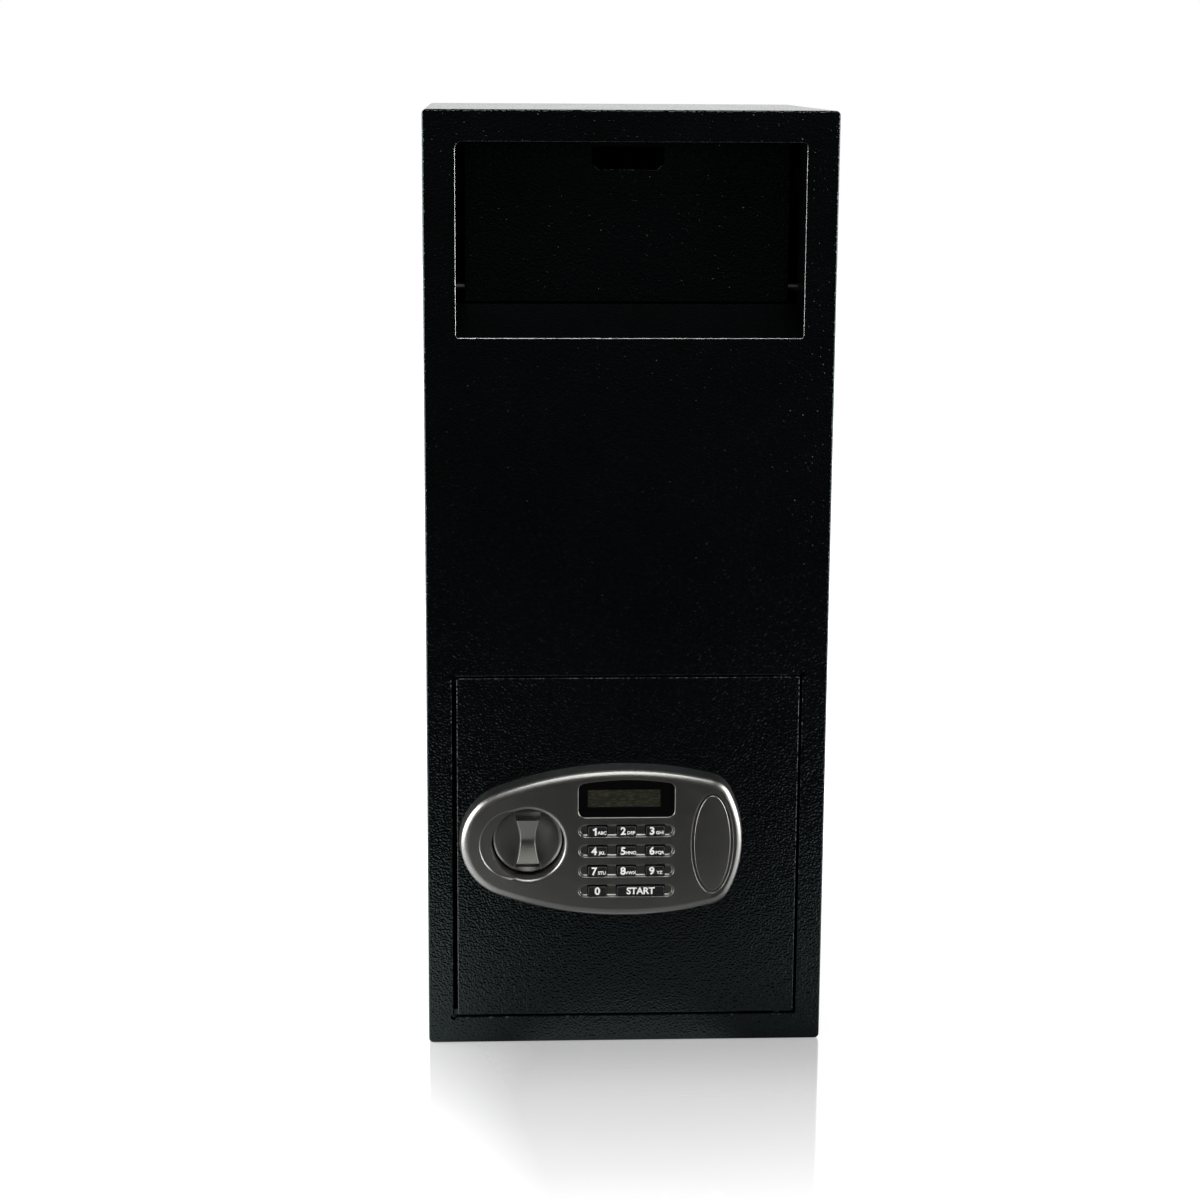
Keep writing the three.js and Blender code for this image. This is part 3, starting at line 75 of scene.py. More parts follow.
CAMERA_PLACE = (-0.1312, -2.3451, 0.8549)
CAMERA_LENS = 77.0
CAMERA_YAW = 0.04917
CAMERA_TILT = 0.20484
CAMERA_ROLL = 0.005759


def make_camera():
    data = bpy.data.cameras.new("camera")
    data.lens = CAMERA_LENS
    data.sensor_width = 36.0
    camera = bpy.data.objects.new("camera", data)
    ahead = Vector((
        math.sin(CAMERA_YAW) * math.cos(CAMERA_TILT),
        math.cos(CAMERA_YAW) * math.cos(CAMERA_TILT),
        -math.sin(CAMERA_TILT),
    ))
    level = Vector((math.cos(CAMERA_YAW), -math.sin(CAMERA_YAW), 0.0))
    upright = level.cross(ahead)
    right = math.cos(CAMERA_ROLL) * level + math.sin(CAMERA_ROLL) * upright
    up = right.cross(ahead)
    turn = Matrix((right, up, -ahead)).transposed()
    camera.matrix_world = Matrix.Translation(CAMERA_PLACE) @ turn.to_4x4()
    scene.collection.objects.link(camera)
    scene.camera = camera


# Node helpers


def ramp(tree, source, low, high, to_low, to_high):
    """A smooth run from one value to the other between two places."""
    made = tree.nodes.new("ShaderNodeMapRange")
    made.interpolation_type = "SMOOTHSTEP"
    for key, value in zip(("From Min", "From Max", "To Min", "To Max"), (low, high, to_low, to_high)):
        made.inputs[key].default_value = value
    tree.links.new(source, made.inputs["Value"])
    return made.outputs["Result"]


def reckon(tree, operation, *values):
    """One sum on one or two values, each an output of a node or a plain number."""
    made = tree.nodes.new("ShaderNodeMath")
    made.operation = operation
    for socket, value in zip(made.inputs, values):
        if isinstance(value, float):
            socket.default_value = value
        else:
            tree.links.new(value, socket)
    return made.outputs[0]


def distance(tree, place):
    made = tree.nodes.new("ShaderNodeVectorMath")
    made.operation = "LENGTH"
    tree.links.new(place, made.inputs[0])
    return made.outputs["Value"]


# Materials


class Finish:
    """A principled material with the few texture helpers that the finishes share."""

    def __init__(self, name, colour, roughness, metallic=0.0, specular=0.5):
        self.material = bpy.data.materials.new(name)
        self.material.use_nodes = True
        self.material.diffuse_color = (*colour, 1.0)
        self.tree = self.material.node_tree
        self.surface = self.tree.nodes["Principled BSDF"]
        self.colour = colour
        self.roughness = roughness
        self.put("Base Color", (*colour, 1.0))
        self.put("Roughness", roughness)
        self.put("Metallic", metallic)
        self.put("Specular IOR Level", specular)
        self.place = self.node("ShaderNodeTexCoord").outputs["Object"]
        self.height = None

    def put(self, socket, value):
        self.surface.inputs[socket].default_value = value

    def node(self, kind, **settings):
        made = self.tree.nodes.new(kind)
        for key, value in settings.items():
            setattr(made, key, value)
        return made

    def link(self, source, target):
        self.tree.links.new(source, target)

    def stretched(self, scale):
        mapping = self.node("ShaderNodeMapping")
        mapping.inputs["Scale"].default_value = scale
        self.link(self.place, mapping.inputs["Vector"])
        return mapping.outputs["Vector"]

    def noise(self, size, detail=2.0, stretch=None):
        """Noise whose features are about this size, in metres."""
        made = self.node("ShaderNodeTexNoise")
        made.inputs["Scale"].default_value = 1.0 / size
        made.inputs["Detail"].default_value = detail
        self.link(self.stretched(stretch) if stretch else self.place, made.inputs["Vector"])
        return made.outputs["Fac"]

    def cells(self, size):
        made = self.node("ShaderNodeTexVoronoi", feature="SMOOTH_F1")
        made.inputs["Scale"].default_value = 1.0 / size
        self.link(self.place, made.inputs["Vector"])
        return made.outputs["Distance"]

    def spread(self, source, low, high, to_low=0.0, to_high=1.0):
        made = self.node("ShaderNodeMapRange")
        made.inputs["From Min"].default_value = low
        made.inputs["From Max"].default_value = high
        made.inputs["To Min"].default_value = to_low
        made.inputs["To Max"].default_value = to_high
        self.link(source, made.inputs["Value"])
        return made.outputs["Result"]

    def tint(self, source, other, low=0.35, high=0.65):
        """The base colour runs from this finish's own to the other where the source is high."""
        mix = self.node("ShaderNodeMix", data_type="RGBA")
        mix.inputs["A"].default_value = (*self.colour, 1.0)
        mix.inputs["B"].default_value = (*other, 1.0)
        self.link(self.spread(source, low, high), mix.inputs["Factor"])
        self.link(mix.outputs["Result"], self.surface.inputs["Base Color"])
        return self

    def polish(self, source, change, low=0.3, high=0.7):
        """Roughness runs up and down by this change round the finish's own."""
        ends = (self.roughness - change, self.roughness + change)
        self.link(self.spread(source, low, high, *ends), self.surface.inputs["Roughness"])
        return self

    def bump(self, source, depth, strength=1.0):
        made = self.node("ShaderNodeBump")
        made.inputs["Distance"].default_value = depth
        made.inputs["Strength"].default_value = strength
        self.link(source, made.inputs["Height"])
        if self.height is not None:
            self.link(self.height, made.inputs["Normal"])
        self.height = made.outputs["Normal"]
        self.link(self.height, self.surface.inputs["Normal"])
        return self


def black_paint(name="black_paint", colour=(0.001, 0.0012, 0.0013), roughness=0.13, specular=0.5):
    """Powder coat: a leathery orange peel of 2 mm, with a cold sheen."""
    made = Finish(name, colour, roughness, specular=specular)
    made.put("Specular Tint", (0.8, 1.0, 1.02, 1.0))
    made.tint(made.noise(0.16, 3.0), (0.0014, 0.0016, 0.0018))
    made.polish(made.noise(0.03, 4.0), 0.03)
    made.bump(made.noise(0.0018, 0.3), 0.0007)
    return made.material


def edge_wear_and_highlight(name, *limits):
    """A cut edge painted pale bare steel where all the limits allow it, and dull black elsewhere.

    The pale steel is partly rubbed wear and partly a painted highlight: the limits make it strongest where
    the edge would catch the light, and faint where it would not.
    A limit is an axis (X, Z, or A for the distance from the middle), where it starts and ends along it,
    and how pale the edge is there.
    """
    made = Finish(name, (0.002, 0.0022, 0.0025), 0.26, specular=0.06)
    split = made.node("ShaderNodeSeparateXYZ")
    made.link(made.place, split.inputs[0])
    aside = reckon(made.tree, "ABSOLUTE", split.outputs["X"])
    places = {"X": split.outputs["X"], "Z": split.outputs["Z"], "A": aside}
    # Painted highlight as well as rubbed wear: the pale metal mask, patchy by noise and cut back by each
    # limit.
    wear_and_highlight = made.spread(made.noise(0.005, 4.0), 0.35, 0.6, 0.7, 1.0)
    for axis, low, high, at_low, at_high in limits:
        wear_and_highlight = reckon(made.tree, "MULTIPLY", wear_and_highlight, made.spread(places[axis], low, high, at_low, at_high))
    made.tint(wear_and_highlight, (0.95, 0.94, 0.92), 0.0, 1.0)
    made.link(wear_and_highlight, made.surface.inputs["Metallic"])
    made.bump(made.noise(0.0018, 0.3), 0.0002)
    return made.material


def panel_silver():
    """Metallic lacquer on plastic, with a fine flake."""
    made = Finish("panel_silver", (0.315, 0.312, 0.298), 0.31, metallic=1.0)
    made.tint(made.noise(0.0007, 2.0), (0.345, 0.342, 0.327))
    made.polish(made.noise(0.012, 3.0), 0.015)
    return made.material


def knob_grey():
    """The panel's lacquer again, a shade lighter on the knob."""
    made = Finish("knob_grey", (0.355, 0.355, 0.332), 0.3, metallic=1.0)
    made.tint(made.noise(0.0007, 2.0), (0.385, 0.385, 0.36))
    made.polish(made.noise(0.012, 3.0), 0.015)
    return made.material


def key_black():
    made = Finish("key_black", (0.012, 0.0125, 0.013), 0.3, specular=0.5)
    made.polish(made.noise(0.004, 3.0), 0.06)
    made.bump(made.noise(0.0006, 1.0), 0.000015, 0.6)
    return made.material


def legend_white():
    made = Finish("legend_white", (0.93, 0.93, 0.91), 0.5)
    made.tint(made.noise(0.0008, 2.0), (0.84, 0.84, 0.82))
    return made.material


def window_black():
    made = Finish("window_black", (0.002, 0.0022, 0.002), 0.12, specular=0.2)
    made.polish(made.noise(0.01, 3.0), 0.04)
    return made.material


def display_glass():
    """Unlit liquid crystal: dark olive with the faintest cloud of the driver lines."""
    made = Finish("display_glass", (0.0165, 0.0172, 0.012), 0.22, specular=0.3)
    made.tint(made.noise(0.0014, 4.0, (0.35, 1.0, 1.3)), (0.042, 0.042, 0.028), 0.48, 0.72)
    return made.material


def zinc_plate():
    made = Finish("zinc_plate", (0.5, 0.49, 0.45), 0.36, metallic=1.0)
    made.tint(made.noise(0.02, 4.0), (0.56, 0.53, 0.42))
    made.polish(made.noise(0.006, 5.0), 0.08)
    made.bump(made.noise(0.0015, 3.0), 0.00002, 0.5)
    return made.material


def bright_steel():
    """Turned steel: fine rings that run round the bar."""
    made = Finish("bright_steel", (0.6, 0.6, 0.59), 0.26, metallic=1.0)
    made.polish(made.noise(0.004, 4.0), 0.07)
    made.bump(made.noise(0.0006, 2.0, (1.0, 0.08, 0.08)), 0.000012, 0.7)
    return made.material


def steel_in_painted_shade():
    """The hopper's shaft and the hinge irons: oiled steel with dark drawing marks along X, darkened almost to
    black as painted shade where it sits in the hopper's recess and the door gap.
    """
    made = Finish("steel_in_painted_shade", (0.03, 0.03, 0.03), 0.42, metallic=1.0)
    made.tint(made.noise(0.002, 3.0, (0.1, 1.0, 1.0)), (0.07, 0.07, 0.069))
    made.polish(made.noise(0.004, 4.0), 0.07)
    return made.material


def brass():
    made = Finish("brass", (0.6, 0.43, 0.17), 0.3, metallic=1.0)
    made.tint(made.noise(0.008, 4.0), (0.5, 0.34, 0.13))
    made.polish(made.noise(0.003, 4.0), 0.08)
    return made.material


def rubber_black():
    made = Finish("rubber_black", (0.018, 0.018, 0.018), 0.72)
    made.bump(made.noise(0.0008, 3.0), 0.00004, 0.6)
    return made.material


def moulded_black():
    made = Finish("moulded_black", (0.014, 0.015, 0.017), 0.48)
    made.polish(made.noise(0.01, 3.0), 0.05)
    made.bump(made.cells(0.0009), 0.00003, 0.7)
    return made.material


def circuit_green():
    made = Finish("circuit_green", (0.012, 0.09, 0.035), 0.32)
    made.tint(made.noise(0.002, 2.0, (1.0, 1.0, 0.15)), (0.02, 0.13, 0.05), 0.5, 0.56)
    return made.material


def cell_wrap():
    made = Finish("cell_wrap", (0.035, 0.04, 0.048), 0.28, metallic=0.3)
    made.polish(made.noise(0.01, 3.0), 0.05)
    return made.material


def signal_red():
    made = Finish("signal_red", (0.42, 0.016, 0.012), 0.28)
    made.polish(made.noise(0.003, 3.0), 0.05)
    return made.material


FINISHES = {
    "cabinet_paint": black_paint(),
    "zinc_plate": zinc_plate(),
    "steel": bright_steel(),
    "panel_grey": panel_silver(),
    "knob_grey": knob_grey(),
    "key_black": key_black(),
    "rubber": rubber_black(),
    "window_black": window_black(),
    "display_glass": display_glass(),
    "circuit_board": circuit_green(),
    "brass": brass(),
    "black_plastic": moulded_black(),
    "cell_wrap": cell_wrap(),
    "red_plastic": signal_red(),
}
LEGEND = legend_white()
STEEL_IN_PAINTED_SHADE = steel_in_painted_shade()
# Painted shade: the cabinet's paint made darker, with little shine, for the hopper's sill, cheeks and baffle,
# which sit in the shade of its recess.
HOPPER_SHADE_PAINT = black_paint("hopper_shade_paint", (0.0006, 0.0007, 0.0008), 0.4, 0.05)
# Painted highlight and rubbed wear round the hopper's opening: strongest along the bottom and on the left,
# less on the right, faint along the top.
HOPPER_EDGE_WEAR_AND_HIGHLIGHT = edge_wear_and_highlight(
    "hopper_edge_wear_and_highlight",
    ("Z", 0.6, 0.61, 0.0, 1.0),
    ("Z", 0.631, 0.636, 1.0, 0.75),
    ("Z", 0.787, 0.792, 1.0, 0.06),
    ("X", -0.1, 0.1, 1.0, 0.75),
    ("A", 0.152, 0.156, 1.0, 0.0),
)
# Painted highlight and rubbed wear on the door's left edge only, strongest low down and gone above 0.28 m;
# the door's other edges stay dull black.
DOOR_EDGE_WEAR_AND_HIGHLIGHT = edge_wear_and_highlight("door_edge_wear_and_highlight", ("X", -0.1475, -0.1485, 0.0, 1.0), ("Z", 0.06, 0.28, 0.35, 0.0))
# Painted highlight and rubbed wear along the lower part of the flap's finger slot, brighter towards its ends.
SLOT_EDGE_WEAR_AND_HIGHLIGHT = edge_wear_and_highlight(
    "slot_edge_wear_and_highlight",
    ("Z", 0.774, 0.778, 1.0, 0.0),
    ("Z", 0.76, 0.765, 0.0, 1.0),
    ("A", 0.019, 0.023, 0.45, 1.0),
    ("A", 0.027, 0.029, 1.0, 0.0),
)
# The shaft and hinge irons take steel in painted shade, and the hopper's inner sheets take paint in painted
# shade.
SPECIAL = {
    "hopper_shaft": STEEL_IN_PAINTED_SHADE,
    "hinge_lug_top": STEEL_IN_PAINTED_SHADE,
    "hinge_lug_bottom": STEEL_IN_PAINTED_SHADE,
    "hinge_bracket_top": STEEL_IN_PAINTED_SHADE,
    "hinge_bracket_bottom": STEEL_IN_PAINTED_SHADE,
    "hopper_sill": HOPPER_SHADE_PAINT,
    "hopper_cheek_left": HOPPER_SHADE_PAINT,
    "hopper_cheek_right": HOPPER_SHADE_PAINT,
    "hopper_baffle": HOPPER_SHADE_PAINT,
}


def dress(obj, material):
    obj.data.materials.clear()
    obj.data.materials.append(material)


def soften(obj, width, angle=32.0, edge_material=None):
    """Small rounds on the edges sharper than this angle, with the flat faces kept flat in shading."""
    weld = obj.modifiers.new("weld", "WELD")
    weld.merge_threshold = 1e-6
    bevel = obj.modifiers.new("edges", "BEVEL")
    if edge_material:
        obj.data.materials.append(edge_material)
        bevel.material = 1
    bevel.width = width
    bevel.segments = 2
    bevel.limit_method = "ANGLE"
    bevel.angle_limit = math.radians(angle)
    bevel.use_clamp_overlap = True
    bevel.harden_normals = True
    weighted = obj.modifiers.new("normals", "WEIGHTED_NORMAL")
    weighted.keep_sharp = True


EDGE_WIDTH = 0.6 * MM
# The pale edge materials carry painted highlights as well as rubbed wear.
EDGES = {
    "front_frame": HOPPER_EDGE_WEAR_AND_HIGHLIGHT,
    "door_panel": DOOR_EDGE_WEAR_AND_HIGHLIGHT,
    "body_shell": None,
    "door_jamb": None,
    "hopper_flap": SLOT_EDGE_WEAR_AND_HIGHLIGHT,
    "hopper_sill": None,
}


def dress_cad_nodes():
    """Every CAD node gets its slot's finish, and the sheets get soft edges.

    The sheets that have rounds of their own take narrower ones than the width asked for.
    """
    slots = {part["node"]: part["material_slot"] for part in frame["record"]["subparts"]}
    for name, obj in nodes.items():
        dress(obj, SPECIAL.get(name, FINISHES[slots[name]]))
        if name in EDGES:
            soften(obj, EDGE_WIDTH, edge_material=EDGES[name])


# Mesh helpers: an outline is a list of (x, z), and a ring is that outline at a depth y


def new_object(name, made, smooth=True):
    bmesh.ops.recalc_face_normals(made, faces=made.faces)
    mesh = bpy.data.meshes.new(name)
    made.to_mesh(mesh)
    made.free()
    for polygon in mesh.polygons:
        polygon.use_smooth = smooth
    obj = bpy.data.objects.new(name, mesh)
    scene.collection.objects.link(obj)
    return obj


def ring_at(outline, y):
    return [Vector((x, y, z)) for x, z in outline]


def loft(name, rings):
    """A closed solid through rings with as many points each."""
    made = bmesh.new()
    rows = [[made.verts.new(point) for point in ring] for ring in rings]
    for row, following in zip(rows, rows[1:]):
        for i in range(len(row)):
            j = (i + 1) % len(row)
            made.faces.new((row[i], row[j], following[j], following[i]))
    made.faces.new(rows[0])
    made.faces.new(rows[-1])
    return new_object(name, made)


def plate(name, outline, y0, y1):
    return loft(name, [ring_at(outline, y0), ring_at(outline, y1)])


def turned(name, profile, centre, steps=96):
    """A solid turned about an axis along Y; the profile is a list of (radius, y)."""
    rings = []
    for radius, y in profile:
        rings.append([
            Vector((
                centre[0] + max(radius, 1e-6) * math.cos(2 * math.pi * k / steps),
                y,
                centre[1] + max(radius, 1e-6) * math.sin(2 * math.pi * k / steps),
            ))
            for k in range(steps)
        ])
    return loft(name, rings)


def combine(target, tools, operation):
    """Cuts the tools from the target, or joins them to it, and clears the tools away."""
    for tool in tools:
        step = target.modifiers.new("step", "BOOLEAN")
        step.operation = operation
        step.solver = "EXACT"
        step.object = tool
        shaped = target.evaluated_get(bpy.context.evaluated_depsgraph_get())
        mesh = bpy.data.meshes.new_from_object(shaped)
        target.modifiers.clear()
        target.data = mesh
        bpy.data.objects.remove(tool)
    for polygon in target.data.polygons:
        polygon.use_smooth = True


def rounded_rectangle(x, z, width, height, radius, steps=6):
    points = []
    for quarter in range(4):
        side_x = 1 if quarter in (0, 3) else -1
        side_z = 1 if quarter in (0, 1) else -1
        for k in range(steps + 1):
            angle = (quarter + k / steps) * math.pi / 2
            points.append((
                x + side_x * (width / 2 - radius) + radius * math.cos(angle),
                z + side_z * (height / 2 - radius) + radius * math.sin(angle),
            ))
    return points


def ellipse(x, z, width, height, steps=128):
    turns = [2 * math.pi * k / steps for k in range(steps)]
    return [(x + width / 2 * math.cos(t), z + height / 2 * math.sin(t)) for t in turns]


def edge_round(depth, steps):
    """How far in and how far up a rounded edge of this depth goes, step by step."""
    turns = [k / steps * math.pi / 2 for k in range(steps + 1)]
    return [(depth * (1 - math.sin(t)), depth * (1 - math.cos(t))) for t in turns]


def finish_piece(obj, body, slot_name, replaced=()):
    dress(obj, FINISHES[slot_name])
    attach(obj, body)
    if replaced:
        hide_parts(*replaced)


# Lock panel: sizes that repeat the CAD's

PANEL_LOW, PANEL_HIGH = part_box("lock_faceplate")
PANEL_X = (PANEL_LOW.x + PANEL_HIGH.x) / 2
PANEL_Z = (PANEL_LOW.z + PANEL_HIGH.z) / 2
PANEL_WIDTH = PANEL_HIGH.x - PANEL_LOW.x
PANEL_HEIGHT = PANEL_HIGH.z - PANEL_LOW.z
FACE = PANEL_LOW.y
FOOT = PANEL_HIGH.y
LEFT_RADIUS = 51 * MM
RIGHT_RADIUS = 100 * MM
CROWN_RADIUS = 320 * MM
CORNER_RADIUS = 26 * MM
DRAFT = 1.6 * MM
RIM_WIDTH = 7.4 * MM
RIM_HEIGHT = 5.2 * MM
WALL = 2.5 * MM
CUP_WALL = 4.5 * MM
BOSS_DEPTH = 2.3 * MM
OVERLAP = 0.5 * MM

KNOB_X = PANEL_X - 64.5 * MM
WELL_RADIUS = 34.2 * MM
WELL_EDGE = 2.3 * MM
WELL_FLARE = 1.5
CRESCENT_X = KNOB_X - 11.1 * MM
CRESCENT_RADIUS = 31 * MM
CRESCENT_DEPTH = 1.6 * MM

WINDOW_X = PANEL_X + 21.5 * MM
WINDOW_Z = PANEL_Z + 41.2 * MM
WINDOW_WIDTH = 84.2 * MM
WINDOW_HEIGHT = 33.8 * MM
WINDOW_CORNER = 6 * MM
WINDOW_ARCH = 2.9 * MM
WINDOW_GAP = 0.175 * MM
WINDOW_EDGE = [(0.6 * MM, 0.0), (0.3 * MM, 0.15 * MM), (WINDOW_GAP, 0.4 * MM)]

GROOVE_LENGTH = 83.5 * MM
GROOVE_HEIGHT = 11 * MM
GROOVE_DEPTH = 3 * MM
KEY_GAP = 0.8 * MM
KEY_FLANGE = 1.6 * MM
KEY_FLANGE_DEPTH = 1.1 * MM
KEY_CORNER = 1.5 * MM
KEY_EDGE = 0.7 * MM
KEY_LOWERED = 0.4 * MM

OVAL_WIDTH = 36.8 * MM
OVAL_HEIGHT = 91 * MM
OVAL_STEP = 2 * MM
MOAT_WIDTH = 4 * MM
MOAT_DEPTH = 0.55 * MM
OVAL_STEP_DEPTH = 1 * MM
OVAL_CROWN = 0.25 * MM

PANE_WIDTH = 63.3 * MM
PANE_HEIGHT = 15.4 * MM
PANE_X = WINDOW_X - 2.2 * MM
PANE_Z = WINDOW_Z + 0.3 * MM

KEY_NAMES = [f"key_{n}" for n in (1, 2, 3, 4, 5, 6, 7, 8, 9, 0)] + ["key_start"]


def circles_meet(x0, z0, r0, x1, z1, r1):
    """Where two circles cross, on the side with the larger x."""
    dx, dz = x1 - x0, z1 - z0
    apart = math.hypot(dx, dz)
    along = (r0 * r0 - r1 * r1 + apart * apart) / (2 * apart)
    aside = math.sqrt(r0 * r0 - along * along)
    foot = (x0 + along * dx / apart, z0 + along * dz / apart)
    choices = [(foot[0] - t * dz / apart, foot[1] + t * dx / apart) for t in (aside, -aside)]
    return max(choices)


def panel_arcs():
    """The egg outline's arcs, round the panel's centre: centre, radius, first and last angle."""
    left = (-PANEL_WIDTH / 2 + LEFT_RADIUS, 0.0)
    right = (PANEL_WIDTH / 2 - RIGHT_RADIUS, 0.0)
    crown_z = PANEL_HEIGHT / 2 - CROWN_RADIUS
    crown_x = left[0] + math.sqrt((CROWN_RADIUS - LEFT_RADIUS) ** 2 - crown_z**2)
    crown = (crown_x, crown_z)
    corner = circles_meet(*right, RIGHT_RADIUS - CORNER_RADIUS, *crown, CROWN_RADIUS - CORNER_RADIUS)

    def heading(start, end):
        return math.atan2(end[1] - start[1], end[0] - start[0])

    end_turn = heading(right, corner)
    corner_turn = heading(crown, corner)
    left_turn = heading(crown, left)
    upper = [
        (right, RIGHT_RADIUS, 0.0, end_turn, 16),
        (corner, CORNER_RADIUS, end_turn, corner_turn, 18),
        (crown, CROWN_RADIUS, corner_turn, left_turn, 26),
        (left, LEFT_RADIUS, left_turn, math.pi, 24),
    ]
    lower = [((c[0], -c[1]), r, -b, -a, n) for c, r, a, b, n in reversed(upper)]
    return upper + lower


ARCS = panel_arcs()


def panel_outline(inset):
    points = []
    for (cx, cz), radius, start, end, steps in ARCS:
        for k in range(steps):
            angle = start + (end - start) * k / steps
            points.append((
                PANEL_X + cx + (radius - inset) * math.cos(angle),
                PANEL_Z + cz + (radius - inset) * math.sin(angle),
            ))
    return points


def window_outline(inset):
    """A rectangle with round corners and a shallow arch on top."""
    arch_steps = 24
    corner_steps = 8
    half = WINDOW_WIDTH / 2 - inset
    radius = WINDOW_CORNER - inset
    bottom = WINDOW_Z - WINDOW_HEIGHT / 2 + inset
    shoulder = WINDOW_Z + WINDOW_HEIGHT / 2 - WINDOW_ARCH - inset
    points = []

    def corner(x, z, quarter):
        for k in range(corner_steps + 1):
            angle = (quarter + k / corner_steps) * math.pi / 2
            points.append((WINDOW_X + x + radius * math.cos(angle), z + radius * math.sin(angle)))

    corner(half - radius, shoulder - radius, 0)
    for k in range(1, arch_steps):
        t = 1 - 2 * k / arch_steps
        points.append((WINDOW_X + t * (half - radius), shoulder + WINDOW_ARCH * (1 - t * t)))
    corner(-half + radius, shoulder - radius, 1)
    corner(-half + radius, bottom + radius, 2)
    corner(half - radius, bottom + radius, 3)
    return points


def opening(name, outline_at, front, back, edge, steps=4):
    """A cutter for an opening whose front edge is rounded."""
    rings = [ring_at(outline_at(-edge), front - 2 * MM)]
    rings += [ring_at(outline_at(-grow), front + rise) for grow, rise in edge_round(edge, steps)]
    rings.append(ring_at(outline_at(0.0), back))
    return loft(name, rings)


def groove_cutter(z):
    """A slot with round ends, sunk in the face: rounded lip, steep wall, soft floor edge."""
    lip = 0.6 * MM

    def outline(inset):
        height = GROOVE_HEIGHT - 2 * inset
        return rounded_rectangle(WINDOW_X, z, GROOVE_LENGTH - 2 * inset, height, height / 2 - 1e-5, 12)

    rings = [ring_at(outline(-lip), FACE - 2 * MM)]
    rings += [ring_at(outline(-grow), FACE + rise) for grow, rise in edge_round(lip, 4)]
    wall = 0.5 * MM
    fillet = 1.6 * MM
    knee = GROOVE_DEPTH - fillet
    for k in range(6):
        turn = k / 5 * math.pi / 2
        rings.append(ring_at(
            outline(wall + fillet * (1 - math.cos(turn))),
            FACE + knee + fillet * math.sin(turn),
        ))
    return loft("groove", rings)


def key_boxes():
    """Each key's name, centre, cap size, front and back, from the CAD's keys."""
    rows = []
    flange = 2 * (KEY_GAP + KEY_FLANGE)
    for name in KEY_NAMES:
        low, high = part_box(name)
        rows.append((
            name,
            (low.x + high.x) / 2,
            (low.z + high.z) / 2,
            high.x - low.x - flange,
            high.z - low.z - flange,
            low.y,
            high.y,
        ))
    return rows


